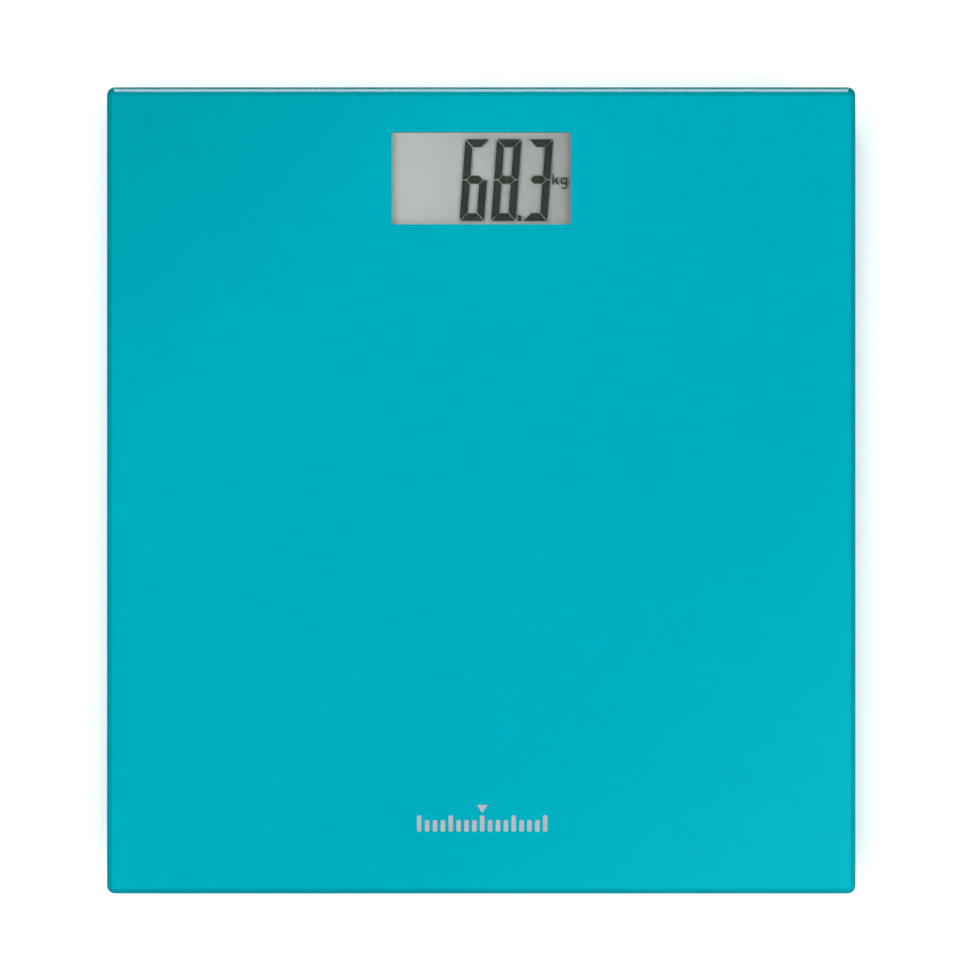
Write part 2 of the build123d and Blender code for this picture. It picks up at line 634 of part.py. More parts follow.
def foot():
    """Rigid foot: disc, central boss under the tongue, and hooked legs that snap over the collar's lip."""
    disc_low = PAD_PROUD
    disc_top = disc_low + FOOT_DISC
    base = disc(FOOT_RADIUS, disc_low, disc_top)
    base = round_edges_at(base, disc_top, 0.5)
    base = fillet(edges_at(base, disc_low), 1.0)
    base -= disc(PAD_RADIUS + 0.05, disc_low - PAST, PAD_THICK)
    boss = chamfer(edges_at(disc(BOSS_RADIUS, disc_top - JOIN, CELL_LOW), CELL_LOW), 0.8)
    shape = base + boss
    hook_low = FLOOR_GAP + LIP_THICK + HOOK_LIFT
    hook_top = hook_low + HOOK_HEIGHT
    inner = LEG_OUTER_RADIUS - LEG_THICK
    leg_ring = ring(LEG_OUTER_RADIUS, inner, disc_top - JOIN, hook_top)
    head = ring(LEG_OUTER_RADIUS + HOOK_REACH, inner, hook_low, hook_top)
    head -= Pos(0, 0, hook_top) * slope_ring(LEG_OUTER_RADIUS + HOOK_REACH, HOOK_REACH)
    reach = 2 * LEG_OUTER_RADIUS
    wedge = make_face(
        Polyline((0, 0), polar(reach, -LEG_SPAN / 2), (reach, 0), polar(reach, LEG_SPAN / 2), close=True)
    )
    leg = (leg_ring + head) & extrude(wedge, RIM)
    for n in range(LEG_COUNT):
        shape += Rot(0, 0, 360 / LEG_COUNT * n + 90) * leg
    return shape


def polar(radius, angle_deg):
    """A plan point at a radius and angle."""
    turned = Vector(radius, 0, 0).rotate(Axis.Z, angle_deg)
    return turned.X, turned.Y


def slope_ring(outer, drop):
    """Cuts a lead-in slope round the top outer edge of a ring whose top is at height 0."""
    return disc(outer + PAST, -drop, 0.5) - Pos(0, 0, -drop / 2) * Cone(outer, outer - drop, drop)


def foot_pad():
    """Non-slip pad with round grooves, held in the foot's recess."""
    pad = disc(PAD_RADIUS, 0, PAD_THICK)
    pad = fillet(edges_at(pad, 0), 0.35)
    for n in range(1, PAD_GROOVES + 1):
        radius = PAD_RADIUS * n / (PAD_GROOVES + 1)
        pad -= ring(radius + 0.5, radius - 0.5, -1, 0.4)
    return pad


# ---------------------------------------------------------------- display


def display_gasket():
    """Foam gasket between the display frame and the film, round the window."""
    gasket = Pos(0, WINDOW_Y, 0) * plate(FRAME_SIZE[0] - 0.4, FRAME_SIZE[1] - 0.4, 1.5, RIM, FILM_LOW)
    return gasket - window_cut(WINDOW_MARGIN - 0.6, RIM - PAST, FILM_LOW + PAST)


def display_frame():
    """Moulded frame that clamps the display and its contact strips to the board, with four screw lugs."""
    frame = plate(*FRAME_SIZE, 2.0, BOARD_TOP, RIM)
    lug_top = BOARD_TOP + LUG_THICK
    for x, y in LUG_POINTS:
        along = y - WINDOW_Y
        inward = (x / abs(x)) * LUG_RADIUS
        web = sorted((x - inward, x))
        lug = disc(LUG_RADIUS, BOARD_TOP, lug_top, x, along)
        lug += block(*web, along - LUG_RADIUS, along + LUG_RADIUS, BOARD_TOP, lug_top)
        frame += lug
    pocket = plate(LCD_WIDTH + 2 * FRAME_PLAY, LCD_DEPTH + 2 * FRAME_PLAY, 0.5, BOARD_TOP - PAST, LCD_TOP)
    frame = Pos(0, WINDOW_Y, 0) * (frame - pocket)
    frame -= window_cut(WINDOW_MARGIN, LCD_TOP - PAST, RIM + PAST)
    for x, y in LUG_POINTS:
        frame -= disc(SMALL_SCREW_RADIUS + SMALL_SCREW_CLEARANCE, BOARD_TOP - PAST, RIM + PAST, x, y)
    return frame


def lcd_cell():
    """Segment display: front polariser, wide front glass with its contact ledges, narrower rear glass."""
    middle = Pos(0, WINDOW_Y, 0)
    front_low = FRONT_GLASS_LOW
    polariser = plate(LCD_WIDTH - 3, LCD_DEPTH - 3, 0.5, LCD_TOP - POLARISER, LCD_TOP)
    front = plate(LCD_WIDTH, LCD_DEPTH, 0.3, front_low, LCD_TOP - POLARISER)
    rear = plate(LCD_WIDTH, LCD_DEPTH - 2 * LCD_LEDGE, 0.3, front_low - LCD_GLASS, front_low)
    return [middle * polariser, middle * front, middle * rear]


def lcd_reflector():
    """Rear polariser with its grey reflector, on the back of the display."""
    top = FRONT_GLASS_LOW - LCD_GLASS
    sheet = plate(LCD_WIDTH - 1, LCD_DEPTH - 2 * LCD_LEDGE - 1, 0.5, top - REFLECTOR, top)
    return Pos(0, WINDOW_Y, 0) * sheet


def zebra_strips():
    """Two elastomer contact strips between the display's ledges and the board."""
    y = LCD_DEPTH / 2 - ZEBRA_WIDTH / 2 - 0.2
    half, thick = LCD_WIDTH / 2 - LCD_LEDGE, ZEBRA_WIDTH / 2
    strip = block(-half, half, -thick, thick, BOARD_TOP, FRONT_GLASS_LOW)
    return [Pos(0, WINDOW_Y + side * y, 0) * strip for side in (-1, 1)]


def circuit_board():
    """The main board, with a screw hole at each lug."""
    board = plate(BOARD_WIDTH, BOARD_REAR - BOARD_FRONT, 1.5, BOARD_LOW, BOARD_TOP)
    board = Pos(0, (BOARD_FRONT + BOARD_REAR) / 2, 0) * board
    for x, y in LUG_POINTS:
        board -= disc(SMALL_SCREW_RADIUS + SMALL_SCREW_CLEARANCE, BOARD_LOW - PAST, BOARD_TOP + PAST, x, y)
    return board


def driver_chip():
    """The potted driver chip, a low round blob of epoxy."""
    blob = disc(CHIP_RADIUS, BOARD_TOP, BOARD_TOP + CHIP_HEIGHT, CHIP_X, WINDOW_Y)
    return fillet(edges_at(blob, BOARD_TOP + CHIP_HEIGHT), 0.8 * CHIP_HEIGHT)


def chip_parts():
    """Small surface-mount resistors and capacitors in two rows beside the chip."""
    spots = [(6.0 + 3.6 * n, WINDOW_Y + row) for n in range(6) for row in (-8.0, 8.0)]
    part = block(-1.0, 1.0, -0.65, 0.65, BOARD_TOP, BOARD_TOP + 0.7)
    return [Pos(x, y, 0) * part for x, y in spots]


def crystal():
    """Tubular crystal lying on the board."""
    can = Rot(0, 90, 0) * Cylinder(CRYSTAL_RADIUS, CRYSTAL_LENGTH)
    return Pos(CRYSTAL_X, WINDOW_Y, BOARD_TOP + CRYSTAL_RADIUS) * can


def display_screw():
    """Pan-head screw through a frame lug and the board into the tray."""
    seat = BOARD_TOP + LUG_THICK
    head = disc(SMALL_HEAD_RADIUS, seat, seat + SMALL_HEAD_HEIGHT)
    head = fillet(edges_at(head, seat + SMALL_HEAD_HEIGHT), 0.8)
    shank = disc(SMALL_SCREW_RADIUS, FLOOR_GAP + SMALL_SCREW_END, seat + JOIN)
    recess = Pos(0, 0, seat + SMALL_HEAD_HEIGHT) * Rot(180, 0, 0) * cross_recess(1.2, 0.9)
    return head + shank - recess


# ---------------------------------------------------------------- button


def tact_switch():
    """Low switch body under the board, with a round well for its plunger."""
    half = SWITCH_SIDE / 2
    body = block(-half, half, -half, half, BOARD_LOW - SWITCH_HEIGHT, BOARD_LOW)
    body = fillet(body.edges().filter_by(Axis.Z), 0.4)
    body -= disc(PLUNGER_RADIUS + JOIN, BOARD_LOW - SWITCH_HEIGHT - PAST, BOARD_LOW - SWITCH_SKIN)
    return Pos(BUTTON_X, BUTTON_Y, 0) * body


def button_flange_top():
    """Height of the button's inner face, against the switch's plunger."""
    return FLOOR_TOP + BUTTON_FLANGE_LIFT + BUTTON_FLANGE_THICK


def switch_plunger():
    """The switch's plunger, between the button and the switch body."""
    low = button_flange_top()
    top = BOARD_LOW - 2 * SWITCH_SKIN - BUTTON_TRAVEL
    return disc(PLUNGER_RADIUS, low, top, BUTTON_X, BUTTON_Y)


def unit_button():
    """Round button cap with a shallow thumb dish, kept in by a flange inside the tray."""
    cap_low = FLOOR_GAP + BUTTON_RECESS
    flange_low = FLOOR_TOP + BUTTON_FLANGE_LIFT
    cap = disc(BUTTON_RADIUS, cap_low, flange_low + JOIN)
    cap = fillet(edges_at(cap, cap_low), 0.4)
    cap -= Pos(0, 0, cap_low + BUTTON_DISH_SINK - BUTTON_DISH_BALL) * Sphere(BUTTON_DISH_BALL)
    cap += disc(BUTTON_RADIUS + BUTTON_FLANGE, flange_low, button_flange_top())
    return Pos(BUTTON_X, BUTTON_Y, 0) * cap


# ---------------------------------------------------------------- battery


def coin_cell():
    """Lithium coin cell, negative cap up: can, sealing ring and cap."""
    middle = Pos(0, BATTERY_Y, 0)
    cap_radius = COIN_RADIUS - COIN_CAP_STEP
    seal_radius = cap_radius + COIN_SEAL
    inside_low = COIN_LOW + COIN_SKIN
    can = disc(COIN_RADIUS, COIN_LOW, COIN_TOP - 0.5)
    can = fillet(edges_at(can, COIN_LOW), 0.5)
    can -= disc(seal_radius, inside_low, COIN_TOP)
    seal = ring(seal_radius, cap_radius, inside_low, COIN_TOP - 0.35)
    cap = disc(cap_radius, inside_low, COIN_TOP)
    cap = fillet(edges_at(cap, COIN_TOP), 0.4)
    return [middle * can, middle * seal, middle * cap]


def battery_contact_minus():
    """Spring leaf over the cell: a tail up through the ceiling and an arm bent down to the cap."""
    half = CONTACT_THICK / 2
    under = CEILING - half
    tip = COIN_TOP + half
    line = FilletPolyline(
        (TAIL_Y, CEILING_TOP + TAIL_PROUD), (TAIL_Y, under), (BATTERY_Y + 8.5, under),
        (BATTERY_Y + 2.5, tip), (BATTERY_Y - 1.0, tip + 0.3),
        radius=[0.6, 1.5, 2.0],
    )
    return extrude(Plane.YZ * trace(line, CONTACT_THICK), CONTACT_WIDTH / 2, both=True)


def battery_contact_plus():
    """Upright leaf against the can's side, its tail up through the ceiling."""
    x = COIN_RADIUS + CONTACT_THICK / 2
    line = FilletPolyline(
        (x + 0.5, COIN_LOW + 0.5), (x, COIN_LOW + 1.6), (x, CEILING_TOP + TAIL_PROUD),
        radius=[0.8],
    )
    strip = extrude(Plane.XZ * trace(line, CONTACT_THICK), CONTACT_WIDTH / 2 - 0.5, both=True)
    return Pos(0, BATTERY_Y, 0) * strip


def battery_leads():
    """Two short leads from the contacts' tails to the board."""
    z = CEILING_TOP + LEAD_RADIUS + LEAD_LIFT
    on_board = BOARD_TOP + LEAD_RADIUS
    down = [(BOARD_FRONT - 9.0, z), (BOARD_FRONT - 1.0, on_board), (BOARD_FRONT + 3.0, on_board)]
    minus_x, plus_x = 0.0, COIN_RADIUS + 5.0
    minus = [(minus_x, TAIL_Y + CONTACT_THICK / 2, z)] + [(minus_x, *point) for point in down]
    plus = [(COIN_RADIUS + CONTACT_THICK, BATTERY_Y, z), (plus_x, BATTERY_Y, z)]
    plus += [(plus_x, *point) for point in down]
    return [wire(minus, LEAD_RADIUS), wire(plus, LEAD_RADIUS)]


def battery_flap():
    """Hinged flap: its front edge is round about the hinge pins, a sprung latch loop at its rear edge."""
    half = MOUTH_WIDTH / 2 - FLAP_GAP
    top = FLOOR_GAP + FLAP_THICK
    rear = MOUTH_REAR - FLAP_GAP
    flap = block(-half, half, HINGE_Y, rear, FLOOR_GAP, top)
    flap = fillet(flap.edges().filter_by(Axis.Z).group_by(Axis.Y)[-1], 1.0)
    along_hinge = Pos(0, HINGE_Y, HINGE_Z) * Rot(0, 90, 0)
    flap += along_hinge * Cylinder(FLAP_THICK / 2, 2 * half)
    flap += along_hinge * Cylinder(HINGE_PIN_RADIUS, 2 * (half + HINGE_PIN_LENGTH))
    notch = LATCH_WIDTH / 2 + 0.7
    flap -= block(-notch, notch, rear - LATCH_NOTCH, rear + PAST, FLOOR_GAP - PAST, top + PAST)
    inner_leg = rear - LATCH_NOTCH - LATCH_THICK / 2
    outer_leg = rear - LATCH_SET_BACK
    loop_top = HINGE_Z + LATCH_RISE
    loop = FilletPolyline(
        (inner_leg, top - JOIN), (inner_leg, loop_top),
        (outer_leg, loop_top), (outer_leg, FLOOR_GAP + FLAP_GAP),
        radius=1.4,
    )
    latch = extrude(Plane.YZ * trace(loop, LATCH_THICK), LATCH_WIDTH / 2, both=True)
    barb = Plane.YZ * make_face(
        Polyline(
            (outer_leg, HINGE_Z + 2.8), (rear, HINGE_Z + 1.9),
            (rear, HINGE_Z + 1.5), (outer_leg, HINGE_Z + 1.5),
            close=True,
        )
    )
    latch += extrude(barb, LATCH_WIDTH / 2 - 1.0, both=True)
    flap += latch
    for n in range(GRIP_GROOVES):
        y = rear - LATCH_NOTCH - GRIP_PITCH * (n + 2)
        flap -= Pos(0, y, FLOOR_GAP) * Rot(0, 90, 0) * Cylinder(GRIP_RADIUS, LATCH_WIDTH)
    rib_half, rib_top = FLAP_RIB_THICK / 2, COIN_LOW - RIB_TO_COIN
    for x in (-FLAP_RIB_HALF_X, FLAP_RIB_HALF_X):
        flap += block(x - rib_half, x + rib_half, BATTERY_Y - 6.0, BATTERY_Y + 5.0, top - JOIN, rib_top)
    return flap


# ---------------------------------------------------------------- build


def build():
    """Makes every node and writes it."""
    save("glass_platform", glass_platform())
    save("print_film", print_film())
    save("bonding_tape", *bonding_tape())
    save("base_tray", tray())
    for name, sx, sy, turn in CORNERS:
        save(f"load_cell_{name}", at_corner(load_cell(), sx, sy, turn))
        save(f"strain_gauge_{name}", *(at_corner(piece, sx, sy, turn) for piece in strain_gauge()))
        save(f"cell_leads_{name}", *cell_leads(sx, sy))
        save(f"foot_collar_{name}", at_corner(foot_collar(), sx, sy, turn))
        save(f"foot_{name}", at_corner(foot(), sx, sy, turn))
        save(f"foot_pad_{name}", at_corner(foot_pad(), sx, sy, turn))
    screws = [
        at_corner(Pos(side * SCREW_CIRCLE, 0, 0) * collar_screw(), sx, sy, turn)
        for _, sx, sy, turn in CORNERS
        for side in (-1, 1)
    ]
    save("collar_screws", *screws)
    save("display_gasket", display_gasket())
    save("display_frame", display_frame())
    save("lcd_cell", *lcd_cell())
    save("lcd_reflector", lcd_reflector())
    save("zebra_strips", *zebra_strips())
    save("circuit_board", circuit_board())
    save("driver_chip", driver_chip())
    save("chip_parts", *chip_parts())
    save("crystal", crystal())
    save("display_screws", *(Pos(x, y, 0) * display_screw() for x, y in LUG_POINTS))
    save("tact_switch", tact_switch())
    save("switch_plunger", switch_plunger())
    save("unit_button", unit_button())
    save("coin_cell", *coin_cell())
    save("battery_contact_minus", battery_contact_minus())
    save("battery_contact_plus", battery_contact_plus())
    save("battery_leads", *battery_leads())
    save("battery_flap", battery_flap())
    label = plate(LABEL_WIDTH, LABEL_DEPTH, LABEL_CORNER, LABEL_LOW, LABEL_LOW + LABEL_THICK)
    save("blank_label", Pos(0, LABEL_Y, 0) * label)


build()
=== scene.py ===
from math import cos, pi, sin

import bmesh
import bpy
from mathutils import Matrix, Vector


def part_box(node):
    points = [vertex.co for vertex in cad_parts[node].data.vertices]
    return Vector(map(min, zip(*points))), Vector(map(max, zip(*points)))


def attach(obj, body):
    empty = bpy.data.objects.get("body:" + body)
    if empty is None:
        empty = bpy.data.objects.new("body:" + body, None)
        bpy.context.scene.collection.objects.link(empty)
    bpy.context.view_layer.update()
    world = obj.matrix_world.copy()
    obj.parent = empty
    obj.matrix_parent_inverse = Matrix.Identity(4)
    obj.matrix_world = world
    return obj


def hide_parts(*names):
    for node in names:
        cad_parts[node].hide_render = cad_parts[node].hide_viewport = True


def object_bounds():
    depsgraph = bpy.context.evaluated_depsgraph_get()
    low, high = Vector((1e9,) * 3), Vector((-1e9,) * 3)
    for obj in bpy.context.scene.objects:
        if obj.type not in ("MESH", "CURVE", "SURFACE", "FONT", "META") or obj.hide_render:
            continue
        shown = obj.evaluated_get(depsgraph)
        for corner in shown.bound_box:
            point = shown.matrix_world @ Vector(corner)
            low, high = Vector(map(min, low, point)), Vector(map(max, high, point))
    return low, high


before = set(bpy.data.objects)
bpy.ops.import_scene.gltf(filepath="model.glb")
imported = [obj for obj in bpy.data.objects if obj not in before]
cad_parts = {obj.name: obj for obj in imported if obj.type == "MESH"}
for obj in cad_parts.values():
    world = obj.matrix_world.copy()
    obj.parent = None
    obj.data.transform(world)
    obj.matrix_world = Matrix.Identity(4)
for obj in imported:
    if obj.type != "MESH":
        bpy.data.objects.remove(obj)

cad_low, cad_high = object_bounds()
CORNERS = ("front_left", "front_right", "rear_left", "rear_right")

# ---------------------------------------------------------------- camera
# A long lens straight above the platform, so that its sides stay parallel in the picture.
# The aim is a little right of and behind the middle, which leaves the margins uneven.
MM = 0.001
LENS, SENSOR = 135 * MM, 36 * MM
FRAME_WIDTH = 370.6 * MM
AIM_X, AIM_Y = 2.4 * MM, 1.1 * MM
lens = bpy.data.cameras.new("long_lens")
lens.lens, lens.sensor_width = LENS / MM, SENSOR / MM
lens.clip_start, lens.clip_end = 0.05, 50.0
camera = bpy.data.objects.new("camera", lens)
camera.location = (AIM_X, AIM_Y, cad_high[2] + FRAME_WIDTH * LENS / SENSOR)
bpy.context.scene.collection.objects.link(camera)
bpy.context.scene.camera = camera
bpy.context.scene.view_settings.view_transform = "Standard"

# ---------------------------------------------------------------- floor and studio light
# A pale paper floor under two large soft panels, either side of a dark gap that the level glass
# mirrors. A low strip behind the scale shows only as the gleam along its rear arris.


def linear(code):
    """Turns an sRGB hex colour into the linear RGBA that a socket takes."""
    channels = [int(code[i : i + 2], 16) / 255 for i in (0, 2, 4)]
    return [c / 12.92 if c <= 0.04045 else ((c + 0.055) / 1.055) ** 2.4 for c in channels] + [1.0]


def add(tree, kind, inputs=None, **settings):
    """Adds a node with its settings, and sets or links its inputs by name or number."""
    made = tree.nodes.new(kind)
    for name, value in settings.items():
        setattr(made, name, value)
    for key, value in (inputs or {}).items():
        if isinstance(value, bpy.types.NodeSocket):
            tree.links.new(value, made.inputs[key])
        else:
            made.inputs[key].default_value = value
    return made


def new_finish(name):
    """Starts a material, and gives its empty tree and the object's own coordinates."""
    finish = bpy.data.materials.new(name)
    finish.use_nodes = True
    tree = finish.node_tree
    tree.nodes.clear()
    return finish, tree, add(tree, "ShaderNodeTexCoord").outputs["Object"]


def put_in_scene(name, mesh, *finishes):
    """Makes an object of a mesh at the origin, with its finishes in order."""
    for finish in finishes:
        mesh.materials.append(finish)
    made = bpy.data.objects.new(name, mesh)
    bpy.context.scene.collection.objects.link(made)
    return made


# Matt paper: a faint tooth keeps it from looking like a plain fill. The sheet ends before its light
# falls off, so that it meets the white room without a seam.
PAPER_TOOTH, PAPER_RELIEF = 0.8 * MM, 0.1 * MM
PAPER_HALF = 1.6
paper, tree, place = new_finish("matt_paper")
tooth = add(tree, "ShaderNodeTexNoise", {"Vector": place, "Scale": 1 / PAPER_TOOTH, "Detail": 3.0})
press = add(
    tree, "ShaderNodeBump", {"Height": tooth.outputs["Fac"], "Strength": 0.05, "Distance": PAPER_RELIEF}
)
skin = add(
    tree,
    "ShaderNodeBsdfPrincipled",
    {
        "Base Color": linear("CFD6DA"),
        "Roughness": 0.9,
        "Specular IOR Level": 0.1,
        "Normal": press.outputs[0],
    },
)
add(tree, "ShaderNodeOutputMaterial", {"Surface": skin.outputs[0]})
sheet = bmesh.new()
bmesh.ops.create_grid(sheet, x_segments=8, y_segments=8, size=PAPER_HALF)
floor_mesh = bpy.data.meshes.new("floor")
sheet.to_mesh(floor_mesh)
floor = put_in_scene("floor", floor_mesh, paper)
floor.visible_glossy = False

PANELS = {
    # name: (place, aim, width, depth, watts)
    "panel_left": ((-0.95, 0.20, 1.45), (0.0, 0.0, 0.0), 1.5, 0.9, 32.5),
    "panel_right": ((1.00, -0.50, 1.45), (0.0, 0.0, 0.0), 1.5, 0.9, 31.5),
    "strip_behind": ((0.0, 0.30, 0.0197), (0.0, 0.15, 0.0197), 0.40, 0.030, 0.20),
}
for name, (spot, aim, width, depth, watts) in PANELS.items():
    panel = bpy.data.lights.new(name, "AREA")
    panel.shape, panel.size, panel.size_y, panel.energy = "RECTANGLE", width, depth, watts
    lamp = bpy.data.objects.new(name, panel)
    lamp.location = spot
    lamp.rotation_euler = (Vector(aim) - Vector(spot)).to_track_quat("-Z", "Y").to_euler()
    lamp.visible_camera = False
    lamp.visible_diffuse = lamp.visible_transmission = name != "strip_behind"
    bpy.context.scene.collection.objects.link(lamp)

# The room: bright round its walls, dark overhead, and dark under the level of the floor. Seen
# directly it is plain white.
room = bpy.data.worlds.new("room")
bpy.context.scene.world = room
room.use_nodes = True
tree = room.node_tree
tree.nodes.clear()
direction = add(tree, "ShaderNodeTexCoord").outputs["Generated"]
height = add(tree, "ShaderNodeSeparateXYZ", {0: direction})
glow = add(
    tree,
    "ShaderNodeMapRange",
    {"Value": height.outputs["Z"], "From Min": 0.80, "From Max": 0.96, "To Min": 0.55, "To Max": 0.0},
    interpolation_type="SMOOTHSTEP",
)
above = add(
    tree, "ShaderNodeMapRange", {"Value": height.outputs["Z"], "From Min": -0.02, "From Max": 0.03}
)
walls = add(tree, "ShaderNodeMath", {0: glow.outputs[0], 1: above.outputs[0]}, operation="MULTIPLY")
sky = add(tree, "ShaderNodeBackground", {"Color": linear("F4F8FB"), "Strength": walls.outputs[0]})
white = add(tree, "ShaderNodeBackground", {"Color": linear("FFFFFF"), "Strength": 1.0})
ray = add(tree, "ShaderNodeLightPath")
seen = add(
    tree, "ShaderNodeMixShader", {0: ray.outputs["Is Camera Ray"], 1: sky.outputs[0], 2: white.outputs[0]}
)
add(tree, "ShaderNodeOutputWorld", {"Surface": seen.outputs[0]})

# ---------------------------------------------------------------- tray
# Injection-moulded ABS in pale grey, from a spark-eroded tool. Its flange carries the glass,
# and everything else is screwed, clipped or laid into it.


def dress(finish, *nodes):
    """Gives CAD nodes a finish in every one of their material slots."""
    for node in nodes:
        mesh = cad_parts[node].data
        if not mesh.materials:
            mesh.materials.append(finish)
        for i in range(len(mesh.materials)):
            mesh.materials[i] = finish


# Spark-eroded ABS: grains half a millimetre across break up the gloss. They are drawn coarser than
# the tool leaves them, so that they show.
ERODED_GRAIN, ERODED_DEPTH = 0.5 * MM, 0.06 * MM
FLOW_CLOUD = 60 * MM


def moulded_abs(name, colour, shade, roughness):
    """Pale or dark ABS from a spark-eroded tool: a fine grain, and a slow cloud of flow marks."""
    finish, tree, place = new_finish(name)
    grain = add(
        tree, "ShaderNodeTexVoronoi", {"Vector": place, "Scale": 1 / ERODED_GRAIN}, feature="SMOOTH_F1"
    )
    fine = add(tree, "ShaderNodeTexNoise", {"Vector": place, "Scale": 2 / ERODED_GRAIN, "Detail": 2.0})
    cloud = add(tree, "ShaderNodeTexNoise", {"Vector": place, "Scale": 1 / FLOW_CLOUD, "Detail": 4.0})
    tone = add(
        tree, "ShaderNodeMix", {
            0: cloud.outputs["Fac"], 6: linear(colour), 7: linear(shade)
        }, data_type="RGBA"
    )
    gloss = add(
        tree,
        "ShaderNodeMapRange",
        {
            "Value": fine.outputs["Fac"],
            "From Min": 0.3,
            "From Max": 0.7,
            "To Min": roughness - 0.06,
            "To Max": roughness + 0.08,
        },
    )
    relief = add(
        tree, "ShaderNodeMath", {0: grain.outputs["Distance"], 1: fine.outputs["Fac"]}, operation="ADD"
    )
    bump = add(
        tree, "ShaderNodeBump", {"Height": relief.outputs[0], "Strength": 0.35, "Distance": ERODED_DEPTH}
    )
    skin = add(
        tree,
        "ShaderNodeBsdfPrincipled",
        {
            "Base Color": tone.outputs[2],
            "Roughness": gloss.outputs[0],
            "Normal": bump.outputs[0],
            "IOR": 1.54,
            "Subsurface Weight": 0.04,
            "Subsurface Scale": 2 * MM,
        },
    )
    add(tree, "ShaderNodeOutputMaterial", {"Surface": skin.outputs[0]})
    return finish


tray_abs = moulded_abs("spark_eroded_abs", "E4E8EA", "DCE1E4", 0.5)
dress(tray_abs, "base_tray", "battery_flap")

# ---------------------------------------------------------------- load cells
# Each is a frame and tongue stamped from spring steel and nickel plated. A foil gauge is glued
# at the tongue's root under white sealant, and three thin leads run from it to the board.
# Nickel-plated spring steel: rolling lines run one way and streak the gloss.
ROLLING_LINE, LINE_STRETCH = 9 * MM, 14.0
nickel_plate, tree, place = new_finish("satin_nickel_plate")
stretch = add(tree, "ShaderNodeMapping", {"Vector": place, "Scale": (1.0, LINE_STRETCH, 1.0)})
rolled = add(
    tree,
    "ShaderNodeTexNoise",
    {"Vector": stretch.outputs[0], "Scale": 1 / ROLLING_LINE, "Detail": 6.0},
)
tone = add(
    tree, "ShaderNodeMix", {
        0: rolled.outputs["Fac"], 6: linear("C9C6BE"), 7: linear("B4B1A9")
    }, data_type="RGBA"
)
gloss = add(tree, "ShaderNodeMapRange", {"Value": rolled.outputs["Fac"], "To Min": 0.22, "To Max": 0.4})
skin = add(
    tree,
    "ShaderNodeBsdfPrincipled",
    {"Base Color": tone.outputs[2], "Metallic": 1.0, "Roughness": gloss.outputs[0]},
)
add(tree, "ShaderNodeOutputMaterial", {"Surface": skin.outputs[0]})
dress(nickel_plate, *(f"load_cell_{corner}" for corner in CORNERS))

# Silicone sealant: slightly translucent, with slow dimples where it set.
DIMPLES_A_METRE, DIMPLE_DEPTH = 700.0, 0.2 * MM
sealant, tree, place = new_finish("cured_silicone")
dimple = add(tree, "ShaderNodeTexNoise", {"Vector": place, "Scale": DIMPLES_A_METRE, "Detail": 2.0})
bump = add(
    tree,
    "ShaderNodeBump",
    {"Height": dimple.outputs["Fac"], "Strength": 0.3, "Distance": DIMPLE_DEPTH},
)
tone = add(
    tree,
    "ShaderNodeMix",
    {0: dimple.outputs["Fac"], 6: linear("F2F1EC"), 7: linear("E2E0D8")},
    data_type="RGBA",
)
skin = add(
    tree,
    "ShaderNodeBsdfPrincipled",
    {
        "Base Color": tone.outputs[2],
        "Roughness": 0.35,
        "Normal": bump.outputs[0],
        "Subsurface Weight": 0.2,
        "Subsurface Scale": 1 * MM,
    },
)
add(tree, "ShaderNodeOutputMaterial", {"Surface": skin.outputs[0]})
dress(sealant, *(f"strain_gauge_{corner}" for corner in CORNERS))


SCUFFS_A_METRE = 900.0


def drawn_pvc(name, colour, shade):
    """Extruded PVC insulation: soft gloss, with small scuffs that dull it and shift its tone."""
    finish, tree, place = new_finish(name)
    scuff = add(tree, "ShaderNodeTexNoise", {"Vector": place, "Scale": SCUFFS_A_METRE, "Detail": 3.0})
    tone = add(
        tree,
        "ShaderNodeMix",
        {0: scuff.outputs["Fac"], 6: linear(colour), 7: linear(shade)},
        data_type="RGBA",
    )
    gloss = add(
        tree, "ShaderNodeMapRange", {"Value": scuff.outputs["Fac"], "To Min": 0.25, "To Max": 0.45}
    )
    skin = add(
        tree, "ShaderNodeBsdfPrincipled", {
            "Base Color": tone.outputs[2], "Roughness": gloss.outputs[0], "IOR": 1.53
        }
    )
    add(tree, "ShaderNodeOutputMaterial", {"Surface": skin.outputs[0]})
    return finish


dress(drawn_pvc("red_pvc", "B3261E", "8F1A16"), *(f"cell_leads_{corner}" for corner in CORNERS))
dress(drawn_pvc("black_pvc", "1C1C1E", "101012"), "battery_leads")

# ---------------------------------------------------------------- collars and their screws
# Collars are moulded like the tray. Each is held by two countersunk screws, and the display's frame
# by four pan heads. Bright zinc plate has a faint cloudy patina, which varies its gloss.
CLOUDS_A_METRE = 1400.0
dress(
    moulded_abs("collar_abs", "DADFE2", "D0D6DA", 0.55), *(f"foot_collar_{corner}" for corner in CORNERS)
)

zinc, tree, place = new_finish("bright_zinc_plate")
patina = add(tree, "ShaderNodeTexNoise", {"Vector": place, "Scale": CLOUDS_A_METRE, "Detail": 4.0})
tone = add(
    tree,
    "ShaderNodeMix",
    {0: patina.outputs["Fac"], 6: linear("D3D5D6"), 7: linear("AFB3B8")},
    data_type="RGBA",
)
gloss = add(tree, "ShaderNodeMapRange", {"Value": patina.outputs["Fac"], "To Min": 0.18, "To Max": 0.42})
skin = add(
    tree,
    "ShaderNodeBsdfPrincipled",
    {"Base Color": tone.outputs[2], "Metallic": 1.0, "Roughness": gloss.outputs[0]},
)
add(tree, "ShaderNodeOutputMaterial", {"Surface": skin.outputs[0]})
dress(zinc, "collar_screws", "display_screws")

